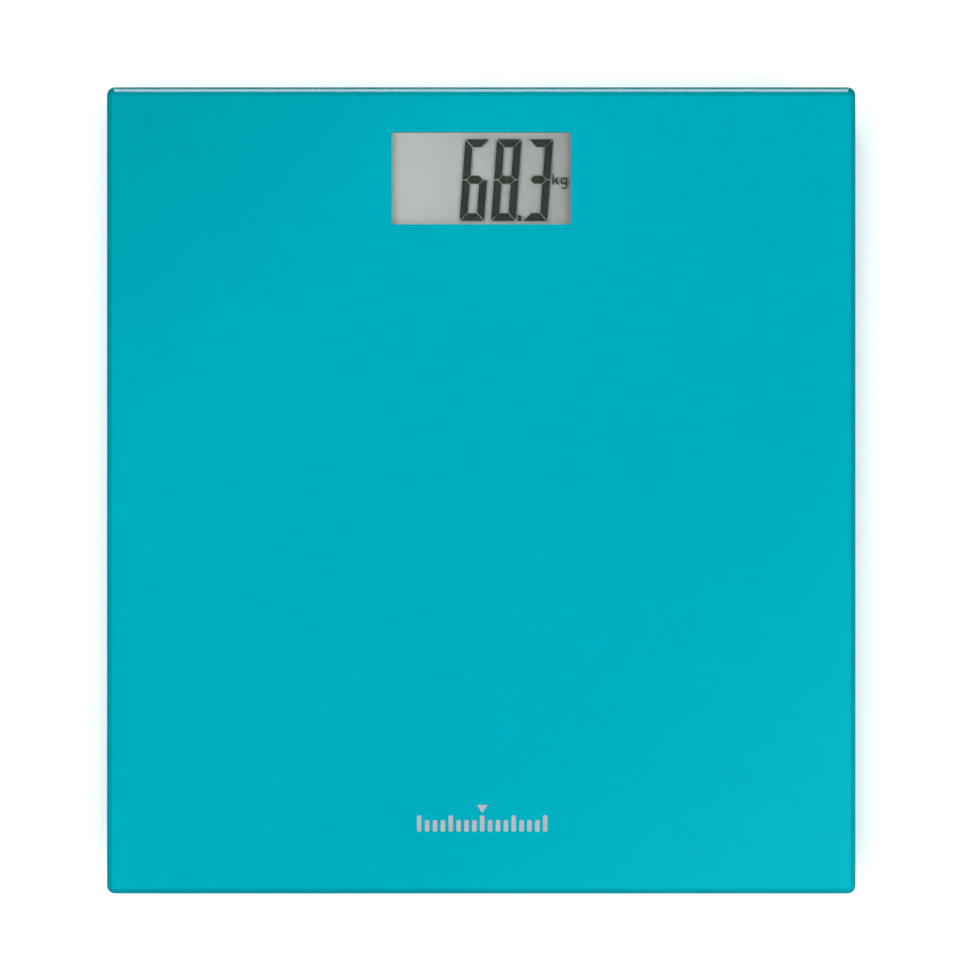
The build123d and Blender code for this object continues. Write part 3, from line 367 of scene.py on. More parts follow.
# ---------------------------------------------------------------- feet and pads
# The foot is dark nylon, satin from the tool. Its pad is moulded rubber with round grooves: matt,
# finely crumbed, and paler where dust lies.
CRUMBS_A_METRE, DUST_PATCHES_A_METRE, CRUMB_DEPTH = 2200.0, 90.0, 0.05 * MM
dress(moulded_abs("foot_nylon", "3A3F44", "33373B", 0.42), *(f"foot_{corner}" for corner in CORNERS))
rubber, tree, place = new_finish("moulded_rubber")
crumb = add(tree, "ShaderNodeTexNoise", {"Vector": place, "Scale": CRUMBS_A_METRE, "Detail": 4.0})
dust = add(tree, "ShaderNodeTexNoise", {"Vector": place, "Scale": DUST_PATCHES_A_METRE, "Detail": 5.0})
tone = add(
    tree,
    "ShaderNodeMix",
    {0: dust.outputs["Fac"], 6: linear("232527"), 7: linear("303336")},
    data_type="RGBA",
)
bump = add(
    tree,
    "ShaderNodeBump",
    {"Height": crumb.outputs["Fac"], "Strength": 0.4, "Distance": CRUMB_DEPTH},
)
skin = add(
    tree,
    "ShaderNodeBsdfPrincipled",
    {"Base Color": tone.outputs[2], "Roughness": 0.78, "Normal": bump.outputs[0], "IOR": 1.52},
)
add(tree, "ShaderNodeOutputMaterial", {"Surface": skin.outputs[0]})
dress(rubber, *(f"foot_pad_{corner}" for corner in CORNERS))

# ---------------------------------------------------------------- glass platform
# Five millimetres of tempered soda-lime glass with ground and polished arrises. It is clear, and takes on
# green where light crosses it lengthwise; lamps reach the print through it. The glass's colour is painted
# darker on its tilted arris faces, a painted shade that gives the darker line round the print.
WIPE_MARK = 12 * MM
# Painted shade: the glass's colour darkens with the tilt of its faces, darkest on the steep part of the
# arris and paler again on the upright edge.
ARRIS_PAINTED_SHADE = ((0.2, "7F8988"), (0.55, "7F8988"), (0.71, "C3C7C7"))
LEVEL_FROM = 0.95
tempered, tree, place = new_finish("tempered_soda_lime_glass")
wiped = add(
    tree, "ShaderNodeTexNoise", {"Vector": place, "Scale": 1 / WIPE_MARK, "Detail": 6.0, "Roughness": 0.6}
)
polish = add(
    tree,
    "ShaderNodeMapRange",
    {"Value": wiped.outputs["Fac"], "From Min": 0.45, "From Max": 0.8, "To Min": 0.0, "To Max": 0.02},
)
facing = add(tree, "ShaderNodeSeparateXYZ", {0: add(tree, "ShaderNodeTexCoord").outputs["Normal"]})
level = add(tree, "ShaderNodeMath", {0: facing.outputs["Z"]}, operation="ABSOLUTE")
# This ramp turns the faces' tilt into the painted arris shade.
base_tone = add(tree, "ShaderNodeValToRGB", {0: level.outputs[0]})
base_tone.color_ramp.elements[0].position, base_tone.color_ramp.elements[0].color = 0.0, linear("E2ECEA")
base_tone.color_ramp.elements[1].position, base_tone.color_ramp.elements[1].color = LEVEL_FROM, linear("F9FDFC")
for tilt, colour in ARRIS_PAINTED_SHADE:
    base_tone.color_ramp.elements.new(tilt).color = linear(colour)
clear = add(
    tree,
    "ShaderNodeBsdfPrincipled",
    {
        "Base Color": base_tone.outputs[0],
        "Roughness": polish.outputs[0],
        "IOR": 1.52,
        "Transmission Weight": 1.0,
    },
)
through = add(tree, "ShaderNodeBsdfTransparent", {"Color": linear("FAFEFD")})
ray = add(tree, "ShaderNodeLightPath")
lit = add(
    tree,
    "ShaderNodeMixShader",
    {0: ray.outputs["Is Shadow Ray"], 1: clear.outputs[0], 2: through.outputs[0]},
)
depth = add(tree, "ShaderNodeVolumeAbsorption", {"Color": linear("8FD9C4"), "Density": 5.0})
add(tree, "ShaderNodeOutputMaterial", {"Surface": lit.outputs[0], "Volume": depth.outputs[0]})
dress(tempered, "glass_platform")
glass_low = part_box("glass_platform")[0]

# ---------------------------------------------------------------- print
# Screen-printed enamel ink on the glass's back, with a clear window for the display. It is laid a
# hundredth of a millimetre into the glass, as wet ink bonds to it, so no air shows between them.
INK_BITE = 0.01 * MM
FILM_CORNER = 2.2 * MM
WINDOW_WIDTH, WINDOW_DEPTH, WINDOW_CORNER = 68.3 * MM, 35.1 * MM, 1.3 * MM


def rounded(width, depth, corner, middle=(0.0, 0.0), steps=8):
    """Plan points of a rectangle with round corners, anticlockwise."""
    points = []
    for turn, (side_x, side_y) in enumerate(((1, 1), (-1, 1), (-1, -1), (1, -1))):
        for i in range(steps + 1):
            angle = pi / 2 * (turn + i / steps)
            x = middle[0] + side_x * (width / 2 - corner) + corner * cos(angle)
            y = middle[1] + side_y * (depth / 2 - corner) + corner * sin(angle)
            points.append((x, y))
    return points


def cut_sheet(name, outlines, low, high):
    """A level sheet between two heights, filled between its outlines, as a closed mesh in its place."""
    drawn = bpy.data.curves.new(name, "CURVE")
    drawn.dimensions, drawn.fill_mode = "2D", "BOTH"
    drawn.extrude = (high - low) / 2 / MM
    for outline in outlines:
        spline = drawn.splines.new("POLY")
        spline.points.add(len(outline) - 1)
        for point, (x, y) in zip(spline.points, outline):
            point.co = (x / MM, y / MM, 0.0, 1.0)
        spline.use_cyclic_u = True
    holder = bpy.data.objects.new(name, drawn)
    bpy.context.scene.collection.objects.link(holder)
    evaluated = holder.evaluated_get(bpy.context.evaluated_depsgraph_get())
    mesh = bpy.data.meshes.new_from_object(evaluated)
    bpy.data.objects.remove(holder)
    mesh.transform(Matrix.Translation((0.0, 0.0, (low + high) / 2)) @ Matrix.Scale(MM, 4))
    return sound(mesh)


def sound(mesh):
    """Merges a mesh's doubled points and turns its faces outwards."""
    work = bmesh.new()
    work.from_mesh(mesh)
    bmesh.ops.remove_doubles(work, verts=work.verts, dist=0.002 * MM)
    bmesh.ops.recalc_face_normals(work, faces=work.faces)
    work.to_mesh(mesh)
    work.free()
    return mesh


cell_low, cell_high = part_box("lcd_cell")
window_middle = ((cell_low[0] + cell_high[0]) / 2, (cell_low[1] + cell_high[1]) / 2)
film_low, film_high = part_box("print_film")

# Two passes of ink leave slow clouds of tone and a faint screen-mesh tooth on the back. Over that,
# painted light makes the ink paler towards the front right, painted shade makes it darker towards the
# rear left, and a painted shade line runs along the rear edge, under the arris.
INK_CLOUD, SCREEN_MESH, MESH_DEPTH = 110 * MM, 0.6 * MM, 0.02 * MM
SHADE_BAND_WIDE, SHADE_BAND_FULL = 3.2 * MM, 1.2 * MM
teal_ink, tree, place = new_finish("screen_printed_teal_enamel")
lay = add(tree, "ShaderNodeTexNoise", {"Vector": place, "Scale": 1 / INK_CLOUD, "Detail": 3.0})
tone = add(
    tree,
    "ShaderNodeMix",
    {0: lay.outputs["Fac"], 6: linear("007985"), 7: linear("007C8A")},
    data_type="RGBA",
)
across = add(tree, "ShaderNodeSeparateXYZ", {0: place})
toward = add(
    tree, "ShaderNodeMath", {0: across.outputs["X"], 1: across.outputs["Y"]}, operation="SUBTRACT"
)
# Painted light: the ink is paler towards the front right.
painted_light_fade = add(
    tree,
    "ShaderNodeMapRange",
    {"Value": toward.outputs[0], "From Min": 0.10, "From Max": 0.29, "To Min": 0.0, "To Max": 0.45},
    interpolation_type="SMOOTHSTEP",
)
# Painted shade: the ink is darker towards the rear left.
painted_shade_fade = add(
    tree,
    "ShaderNodeMapRange",
    {"Value": toward.outputs[0], "From Min": -0.29, "From Max": -0.12, "To Min": 0.75, "To Max": 0.0},
    interpolation_type="SMOOTHSTEP",
)
painted_shade_tone = add(
    tree,
    "ShaderNodeMix",
    {0: painted_shade_fade.outputs[0], 6: tone.outputs[2], 7: linear("00717A")},
    data_type="RGBA",
)
painted_light_tone = add(
    tree,
    "ShaderNodeMix",
    {0: painted_light_fade.outputs[0], 6: painted_shade_tone.outputs[2], 7: linear("0B8893")},
    data_type="RGBA",
)
# Painted shade: a darker line along the rear edge of the print, under the arris.
rear_painted_shade = add(
    tree,
    "ShaderNodeMapRange",
    {
        "Value": across.outputs["Y"],
        "From Min": film_high[1] - SHADE_BAND_WIDE,
        "From Max": film_high[1] - SHADE_BAND_FULL,
    },
    interpolation_type="SMOOTHSTEP",
)
inked = add(
    tree,
    "ShaderNodeMix",
    {0: rear_painted_shade.outputs[0], 6: painted_light_tone.outputs[2], 7: linear("00656F")},
    data_type="RGBA",
)
mesh_mark = add(tree, "ShaderNodeTexVoronoi", {"Vector": place, "Scale": 1 / SCREEN_MESH})
press = add(
    tree,
    "ShaderNodeBump",
    {"Height": mesh_mark.outputs["Distance"], "Strength": 0.1, "Distance": MESH_DEPTH},
)
skin = add(
    tree,
    "ShaderNodeBsdfPrincipled",
    {
        "Base Color": inked.outputs[2],
        "Roughness": 0.55,
        "Specular IOR Level": 0.0,
        "Normal": press.outputs[0],
    },
)
add(tree, "ShaderNodeOutputMaterial", {"Surface": skin.outputs[0]})
film_edge = rounded(film_high[0] - film_low[0], film_high[1] - film_low[1], FILM_CORNER)
window_edge = rounded(WINDOW_WIDTH, WINDOW_DEPTH, WINDOW_CORNER, window_middle)
teal_film = put_in_scene(
    "teal_film", cut_sheet(
        "teal_film", [film_edge, window_edge], film_low[2], glass_low[2] + INK_BITE
    ), teal_ink
)
teal_film.visible_shadow = False
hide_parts("print_film")
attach(teal_film, "base")

# ---------------------------------------------------------------- silver scale marks
# A plain row of silver graduations with a pointer over the middle one, printed on the glass's back
# before the teal goes on. The marks are one Geometry Nodes row, every fourth one longer.
MARKS, MARK_PITCH, MARK_WIDTH = 17, 3.0 * MM, 1.7 * MM
SHORT_MARK, LONG_MARK, LONG_EVERY = 4.4 * MM, 6.2 * MM, 4
SILVER_BITE = 0.03 * MM
MARKS_MIDDLE_X, MARKS_FOOT_Y = 0.4 * MM, -130.0 * MM
POINTER_WIDTH, POINTER_HEIGHT, POINTER_GAP = 4.2 * MM, 3.2 * MM, 0.8 * MM

silver_ink, tree, place = new_finish("silver_flake_ink")
flake = add(tree, "ShaderNodeTexVoronoi", {"Vector": place, "Scale": 1 / (0.12 * MM)})
tone = add(
    tree, "ShaderNodeMix", {
        0: flake.outputs["Distance"], 6: linear("8C888D"), 7: linear("7D797E")
    }, data_type="RGBA"
)
skin = add(
    tree, "ShaderNodeBsdfPrincipled", {
        "Base Color": tone.outputs[2], "Roughness": 0.6, "Specular IOR Level": 0.2
    }
)
add(tree, "ShaderNodeOutputMaterial", {"Surface": skin.outputs[0]})


def new_nodes(name, sockets):
    """Starts a Geometry Nodes tree whose inputs are named sizes, and gives its group input."""
    tree = bpy.data.node_groups.new(name, "GeometryNodeTree")
    for label, kind in sockets.items():
        tree.interface.new_socket(label, in_out="INPUT", socket_type=kind)
    tree.interface.new_socket("Geometry", in_out="OUTPUT", socket_type="NodeSocketGeometry")
    return tree, tree.nodes.new("NodeGroupInput").outputs


def grown(name, tree, values):
    """Runs a Geometry Nodes tree with its inputs set, and gives the result as a plain mesh."""
    holder = bpy.data.objects.new(name, bpy.data.meshes.new(name))
    bpy.context.scene.collection.objects.link(holder)
    modifier = holder.modifiers.new(name, "NODES")
    modifier.node_group = tree
    for item in tree.interface.items_tree:
        if item.in_out == "INPUT" and item.name in values:
            modifier[item.identifier] = values[item.name]
    evaluated = holder.evaluated_get(bpy.context.evaluated_depsgraph_get())
    mesh = bpy.data.meshes.new_from_object(evaluated)
    holder.modifiers.clear()
    bpy.data.objects.remove(holder)
    return mesh


tree, sizes = new_nodes(
    "graduations",
    {
        "Marks": "NodeSocketInt",
        "Pitch": "NodeSocketFloat",
        "Width": "NodeSocketFloat",
        "Short": "NodeSocketFloat",
        "Long": "NodeSocketFloat",
        "Every": "NodeSocketInt",
        "Thick": "NodeSocketFloat",
        "Finish": "NodeSocketMaterial",
    },
)
step = add(tree, "ShaderNodeCombineXYZ", {"X": sizes["Pitch"]})
row = add(
    tree, "GeometryNodeMeshLine", {"Count": sizes["Marks"], "Offset": step.outputs[0]}, mode="OFFSET"
)
place_in_row = add(tree, "GeometryNodeInputIndex")
left_over = add(
    tree, "ShaderNodeMath", {0: place_in_row.outputs[0], 1: sizes["Every"]}, operation="MODULO"
)
is_short = add(tree, "ShaderNodeMath", {0: left_over.outputs[0], 1: 0.5}, operation="GREATER_THAN")
is_long = add(tree, "ShaderNodeMath", {0: left_over.outputs[0], 1: 0.5}, operation="LESS_THAN")
corner = add(tree, "ShaderNodeMath", {0: sizes["Width"], 1: 0.3}, operation="MULTIPLY")
both = add(tree, "GeometryNodeJoinGeometry")
for height, chosen in ((sizes["Short"], is_short), (sizes["Long"], is_long)):
    bar = add(
        tree, "GeometryNodeCurvePrimitiveQuadrilateral", {"Width": sizes["Width"], "Height": height}
    )
    soft = add(
        tree,
        "GeometryNodeFilletCurve",
        {"Curve": bar.outputs[0], "Radius": corner.outputs[0], "Count": 4},
        mode="POLY",
    )
    face = add(tree, "GeometryNodeFillCurve", {"Curve": soft.outputs[0]})
    lifted = add(
        tree,
        "GeometryNodeExtrudeMesh",
        {"Mesh": face.outputs[0], "Offset Scale": sizes["Thick"], "Individual": False},
    )
    under = add(tree, "GeometryNodeFlipFaces", {"Mesh": face.outputs[0]})
    closed = add(tree, "GeometryNodeJoinGeometry")
    tree.links.new(lifted.outputs["Mesh"], closed.inputs[0])
    tree.links.new(under.outputs[0], closed.inputs[0])
    half = add(tree, "ShaderNodeMath", {0: height, 1: 0.5}, operation="MULTIPLY")
    up = add(tree, "ShaderNodeCombineXYZ", {"Y": half.outputs[0]})
    standing = add(
        tree, "GeometryNodeTransform", {"Geometry": closed.outputs[0], "Translation": up.outputs[0]}
    )
    marks = add(
        tree,
        "GeometryNodeInstanceOnPoints",
        {"Points": row.outputs[0], "Selection": chosen.outputs[0], "Instance": standing.outputs[0]},
    )
    tree.links.new(marks.outputs[0], both.inputs[0])
real = add(tree, "GeometryNodeRealizeInstances", {"Geometry": both.outputs[0]})
inked = add(tree, "GeometryNodeSetMaterial", {"Geometry": real.outputs[0], "Material": sizes["Finish"]})
add(tree, "NodeGroupOutput", {"Geometry": inked.outputs[0]})
silver_low = glass_low[2] + 2 * INK_BITE
marks_mesh = grown(
    "scale_marks",
    tree,
    {
        "Marks": MARKS,
        "Pitch": MARK_PITCH,
        "Width": MARK_WIDTH,
        "Short": SHORT_MARK,
        "Long": LONG_MARK,
        "Every": LONG_EVERY,
        "Thick": SILVER_BITE,
        "Finish": silver_ink,
    },
)
first_mark_x = MARKS_MIDDLE_X - (MARKS - 1) / 2 * MARK_PITCH
marks_mesh.transform(Matrix.Translation((first_mark_x, MARKS_FOOT_Y, silver_low)))
scale_marks = put_in_scene("scale_marks", sound(marks_mesh))
tip_y = MARKS_FOOT_Y + LONG_MARK + POINTER_GAP
pointer_outline = [
    (MARKS_MIDDLE_X, tip_y),
    (MARKS_MIDDLE_X + POINTER_WIDTH / 2, tip_y + POINTER_HEIGHT),
    (MARKS_MIDDLE_X - POINTER_WIDTH / 2, tip_y + POINTER_HEIGHT),
]
pointer = put_in_scene(
    "scale_pointer", cut_sheet(
        "scale_pointer", [pointer_outline], silver_low, silver_low + SILVER_BITE
    ), silver_ink
)
for piece in (scale_marks, pointer):
    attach(piece, "base")

# ---------------------------------------------------------------- tape and gasket
# Die-cut closed-cell foam: white tape bonds the glass to the tray's flange and wells, and a black
# gasket seals the display's frame to the film. Cut cells show as pits.


def die_cut_foam(name, colour, shade):
    """Closed-cell foam, a third of a millimetre to a cell: matt, with pits where it was cut, painted
    darker towards each pit's middle as shade.
    """
    finish, tree, place = new_finish(name)
    cell = add(tree, "ShaderNodeTexVoronoi", {"Vector": place, "Scale": 1 / (0.35 * MM)})
    # Painted shade: each cut cell is darker towards its middle, where the pit is deepest.
    tone = add(
        tree, "ShaderNodeMix", {
            0: cell.outputs["Distance"], 6: linear(shade), 7: linear(colour)
        }, data_type="RGBA"
    )
    pits = add(
        tree,
        "ShaderNodeBump",
        {"Height": cell.outputs["Distance"], "Strength": 0.6, "Distance": 0.1 * MM},
    )
    skin = add(
        tree,
        "ShaderNodeBsdfPrincipled",
        {
            "Base Color": tone.outputs[2],
            "Roughness": 0.9,
            "Normal": pits.outputs[0],
            "Specular IOR Level": 0.2,
        },
    )
    add(tree, "ShaderNodeOutputMaterial", {"Surface": skin.outputs[0]})
    return finish


dress(die_cut_foam("white_foam_tape", "EDEEEA", "D2D4D0"), "bonding_tape")
dress(die_cut_foam("black_foam_gasket", "1E1F20", "101112"), "display_gasket")

# ---------------------------------------------------------------- segment display
# A laminate of polariser, wide front glass and narrower rear glass over a grey reflector. The
# figures are dark where the liquid between the glasses is switched, and they shade the reflector.
LEDGE, POLARISER_INSET, POLARISER_THICK = 1.9 * MM, 1.5 * MM, 0.2 * MM
GLASS_SHEET, GLASS_NICK, FILM_SHEET_CORNER = 1.1 * MM, 0.3 * MM, 0.5 * MM
cell_width, cell_depth = cell_high[0] - cell_low[0], cell_high[1] - cell_low[1]
liquid = cell_low[2] + GLASS_SHEET
front_top = cell_high[2] - POLARISER_THICK


def stacked(name, rings):
    """A closed shell through level rings of equally many points, capped at both ends."""
    work = bmesh.new()
    loops = [[work.verts.new((x, y, z)) for x, y in outline] for outline, z in rings]
    for lower, upper in zip(loops, loops[1:]):
        for i in range(len(lower)):
            j = (i + 1) % len(lower)
            work.faces.new((lower[i], lower[j], upper[j], upper[i]))
    work.faces.new(loops[0][::-1])
    work.faces.new(loops[-1])
    bmesh.ops.recalc_face_normals(work, faces=work.faces)
    mesh = bpy.data.meshes.new(name)
    work.to_mesh(mesh)
    work.free()
    return mesh


polarised, tree, place = new_finish("antiglare_polarised_glass")
etch = add(tree, "ShaderNodeTexNoise", {"Vector": place, "Scale": 1 / (0.4 * MM), "Detail": 2.0})
haze = add(tree, "ShaderNodeMapRange", {"Value": etch.outputs["Fac"], "To Min": 0.02, "To Max": 0.10})
clear = add(
    tree,
    "ShaderNodeBsdfPrincipled",
    {
        "Base Color": linear("F6F8F4"),
        "Roughness": haze.outputs[0],
        "IOR": 1.5,
        "Transmission Weight": 1.0,
    },
)
through = add(tree, "ShaderNodeBsdfTransparent", {"Color": linear("F8FAF7")})
ray = add(tree, "ShaderNodeLightPath")
lit = add(
    tree,
    "ShaderNodeMixShader",
    {0: ray.outputs["Is Shadow Ray"], 1: clear.outputs[0], 2: through.outputs[0]},
)
add(tree, "ShaderNodeOutputMaterial", {"Surface": lit.outputs[0]})

rear_edge = rounded(cell_width, cell_depth - 2 * LEDGE, GLASS_NICK, window_middle, 3)
front_edge = rounded(cell_width, cell_depth, GLASS_NICK, window_middle, 3)
polariser_width, polariser_depth = cell_width - 2 * POLARISER_INSET, cell_depth - 2 * POLARISER_INSET
polariser_edge = rounded(polariser_width, polariser_depth, FILM_SHEET_CORNER, window_middle, 3)
laminate_mesh = stacked(
    "display_laminate",
    [
        (rear_edge, cell_low[2] - INK_BITE),
        (rear_edge, liquid),
        (front_edge, liquid),
        (front_edge, front_top),
        (polariser_edge, front_top),
        (polariser_edge, cell_high[2]),
    ],
)
laminate = put_in_scene("display_laminate", laminate_mesh, polarised)
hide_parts("lcd_cell")

# Pearl reflector: warm grey and finely grained, with painted light that makes it paler towards the left,
# the side that the light comes from.
reflector, tree, place = new_finish("pearl_grey_reflector_film")
across = add(tree, "ShaderNodeSeparateXYZ", {0: place})
# Painted light: paler at the left, darker at the right.
painted_light_slope = add(
    tree, "ShaderNodeMapRange", {"Value": across.outputs["X"], "From Min": -0.036, "From Max": 0.036}
)
tone = add(
    tree, "ShaderNodeMix", {
        0: painted_light_slope.outputs[0], 6: linear("958F91"), 7: linear("807B7D")
    }, data_type="RGBA"
)
pearl = add(tree, "ShaderNodeTexNoise", {"Vector": place, "Scale": 1 / (0.25 * MM), "Detail": 3.0})
grain = add(
    tree,
    "ShaderNodeMapRange",
    {"Value": pearl.outputs["Fac"], "From Min": 0.3, "From Max": 0.7, "To Min": 0.96, "To Max": 1.04},
)
mottled = add(
    tree,
    "ShaderNodeMix",
    {0: 1.0, 6: tone.outputs[2], 7: grain.outputs[0]},
    data_type="RGBA",
    blend_type="MULTIPLY",
)
skin = add(
    tree,
    "ShaderNodeBsdfPrincipled",
    {"Base Color": mottled.outputs[2], "Roughness": 0.6, "Specular IOR Level": 0.1},
)
add(tree, "ShaderNodeOutputMaterial", {"Surface": skin.outputs[0]})
reflector_low, reflector_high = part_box("lcd_reflector")
reflector_width = reflector_high[0] - reflector_low[0]
reflector_edge = rounded(reflector_width, cell_depth - 2 * LEDGE, FILM_SHEET_CORNER, window_middle, 4)
reflector_film = put_in_scene(
    "reflector_film", cut_sheet(
        "reflector_film", [reflector_edge], reflector_low[2], reflector_high[2]
    ), reflector
)
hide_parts("lcd_reflector")
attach(reflector_film, "base")

# Figures: slanted seven-segment digits with mitred ends.
DIGIT_WIDTH, DIGIT_HEIGHT, DIGIT_LEAN = 9.4 * MM, 31.2 * MM, 2.29 * MM
DIGIT_PITCH, DIGITS_LEFT, DIGITS_FOOT = 12.05 * MM, -20.35 * MM, 102.8 * MM
DIGIT_WAIST = 15.75 * MM
UPRIGHT_STROKE, LEVEL_STROKE, MITRE_GAP = 2.9 * MM, 3.0 * MM, 0.32 * MM
SEGMENT_HALF_THICK = 0.01 * MM
READING = ("", "acdefg", "abcdefg", "abcdg")


def segment_outlines():
    """Outlines of the seven segments of one upright digit, by letter."""
    w, h, m = DIGIT_WIDTH, DIGIT_HEIGHT, DIGIT_WAIST
    u, v, s = UPRIGHT_STROKE, LEVEL_STROKE, MITRE_GAP
    left_top = [(0, h - s), (0, m + s / 2), (u / 2, m + s), (u, m + v / 2 + s), (u, h - v - s)]
    left_low = [(0, s), (u, v + s), (u, m - v / 2 - s), (u / 2, m - s), (0, m - s / 2)]
    return {
        "a": [(s, h), (u + s, h - v), (w - u - s, h - v), (w - s, h)],
        "b": [(w - x, y) for x, y in left_top],
        "c": [(w - x, y) for x, y in left_low],
        "d": [(s, 0), (w - s, 0), (w - u - s, v), (u + s, v)],
        "e": left_low,
        "f": left_top,
        "g": [
            (u / 2 + s, m), (u + s, m - v / 2), (w - u - s, m - v / 2),
            (w - u / 2 - s, m), (w - u - s, m + v / 2), (u + s, m + v / 2),
        ],
    }


def slanted(outline, left):
    """An outline drawn on one digit's own corner, leant over and put on the display."""
    return [(left + x + DIGIT_LEAN * y / DIGIT_HEIGHT, DIGITS_FOOT + y) for x, y in outline]


dark = []
for place_in_number, letters in enumerate(READING):
    left = DIGITS_LEFT + place_in_number * DIGIT_PITCH
    dark += [
        slanted(outline, left) for letter, outline in segment_outlines().items() if letter in letters
    ]
POINT_SIDE, POINT_HEIGHT, POINT_AFTER_DIGIT = 1.33 * MM, 2.16 * MM, 0.71 * MM
point_left = DIGITS_LEFT + 2 * DIGIT_PITCH + DIGIT_WIDTH + POINT_AFTER_DIGIT
dark.append(slanted([(0, 0), (POINT_SIDE, 0), (POINT_SIDE, POINT_HEIGHT), (0, POINT_HEIGHT)], point_left))
figures_mesh = cut_sheet(
    "display_figures", dark, liquid - SEGMENT_HALF_THICK, liquid + SEGMENT_HALF_THICK
)

# The unit mark, kg, beside the last figure: plain strokes of one weight.
UNIT_LEFT, UNIT_BASE, UNIT_STROKE = 27.15 * MM, 116.75 * MM, 0.56 * MM
K_WIDTH, K_HEIGHT, LOW_HEIGHT = 2.6 * MM, 4.0 * MM, 2.75 * MM
G_LEFT, G_WIDTH, G_TAIL = 3.05 * MM, 2.65 * MM, 1.75 * MM


def oval(middle, half_wide, half_high, start, end, steps):
    """Points along an oval between two angles in degrees."""
    turns = [(start + (end - start) * i / steps) * pi / 180 for i in range(steps + 1)]
    return [(middle[0] + half_wide * cos(turn), middle[1] + half_high * sin(turn)) for turn in turns]


t, low = UNIT_STROKE, LOW_HEIGHT
letter_k = [
    (0, 0), (t, 0), (t, 0.3 * low), (t + 0.2 * (K_WIDTH - t), 0.48 * low), (K_WIDTH - 1.3 * t, 0),
    (
        K_WIDTH, 0
    ), (t + 0.52 * (K_WIDTH - t), 0.66 * low), (K_WIDTH - 0.15 * t, low), (K_WIDTH - 1.4 * t, low),
    (t, 0.56 * low), (t, K_HEIGHT), (0, K_HEIGHT),
]
bowl = (G_LEFT + G_WIDTH / 2, low / 2)
right = G_LEFT + G_WIDTH
letter_g = (
    [(right, low), (right - t, low)]
    + oval(bowl, G_WIDTH / 2, low / 2, 52, 308, 20)
    + [(right - t, -0.1 * G_TAIL)]
    + oval((right - G_WIDTH / 2, -0.35 * G_TAIL), G_WIDTH / 2 - t, 0.65 * G_TAIL - t, 0, -140, 10)
    + oval((right - G_WIDTH / 2, -0.35 * G_TAIL), G_WIDTH / 2, 0.65 * G_TAIL, -145, 0, 12)
)
bowl_hole = oval(bowl, G_WIDTH / 2 - t, low / 2 - t, 0, 345, 23)
letters = [
    [(UNIT_LEFT + x, UNIT_BASE + y) for x, y in outline] for outline in (letter_k, letter_g, bowl_hole)
]
unit_mesh = cut_sheet("unit_mark", letters, liquid - SEGMENT_HALF_THICK, liquid + SEGMENT_HALF_THICK)

switched, tree, place = new_finish("switched_liquid_crystal")
fringe = add(tree, "ShaderNodeTexNoise", {"Vector": place, "Scale": 1 / (1.5 * MM), "Detail": 2.0})
tone = add(
    tree,
    "ShaderNodeMix",
    {0: fringe.outputs["Fac"], 6: linear("252723"), 7: linear("2C2F2A")},
    data_type="RGBA",
)
skin = add(
    tree, "ShaderNodeBsdfPrincipled", {
        "Base Color": tone.outputs[2], "Roughness": 0.7, "Specular IOR Level": 0.0
    }
)
add(tree, "ShaderNodeOutputMaterial", {"Surface": skin.outputs[0]})
figures = put_in_scene("display_figures", figures_mesh, switched)
unit_mark = put_in_scene("display_unit_mark", unit_mesh, switched)

for piece in (laminate, figures, unit_mark):
    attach(piece, "base")

# ---------------------------------------------------------------- display frame and board
# A black ABS frame clamps the display and two zebra strips to the board. The board is glass-epoxy
# laminate under green mask, with a potted chip, small ceramic parts and a crystal.
dress(moulded_abs("black_abs", "1A1B1C", "141516", 0.45), "display_frame")

ZEBRA_PITCH = 0.36 * MM
elastomer, tree, place = new_finish("zebra_elastomer")
layer = add(tree, "ShaderNodeTexWave", {"Vector": place, "Scale": 1 / ZEBRA_PITCH / 20})
tone = add(
    tree,
    "ShaderNodeMix",
    {0: layer.outputs["Fac"], 6: linear("2A2A2C"), 7: linear("C98F96")},
    data_type="RGBA",
)
skin = add(tree, "ShaderNodeBsdfPrincipled", {"Base Color": tone.outputs[2], "Roughness": 0.6})
add(tree, "ShaderNodeOutputMaterial", {"Surface": skin.outputs[0]})
dress(elastomer, "zebra_strips")

TRACK_CELL = 2.4 * MM
mask, tree, place = new_finish("green_masked_laminate")
tracks = add(
    tree, "ShaderNodeTexVoronoi", {"Vector": place, "Scale": 1 / TRACK_CELL}, feature="DISTANCE_TO_EDGE"
)
copper = add(
    tree, "ShaderNodeMapRange", {"Value": tracks.outputs["Distance"], "From Min": 0.05, "From Max": 0.08}
)
weave = add(tree, "ShaderNodeTexNoise", {"Vector": place, "Scale": 1 / (0.5 * MM)})
base_tone = add(
    tree,
    "ShaderNodeMix",
    {0: weave.outputs["Fac"], 6: linear("0F5A34"), 7: linear("0B4A2B")},
    data_type="RGBA",
)
tone = add(
    tree,
    "ShaderNodeMix",
    {0: copper.outputs[0], 6: linear("2C8A55"), 7: base_tone.outputs[2]},
    data_type="RGBA",
)
raised = add(
    tree, "ShaderNodeBump", {
        "Height": copper.outputs[0], "Strength": 0.5, "Distance": 0.03 * MM
    }, invert=True
)
skin = add(
    tree,
    "ShaderNodeBsdfPrincipled",
    {"Base Color": tone.outputs[2], "Roughness": 0.3, "Coat Weight": 0.4, "Normal": raised.outputs[0]},
)
add(tree, "ShaderNodeOutputMaterial", {"Surface": skin.outputs[0]})
dress(mask, "circuit_board")

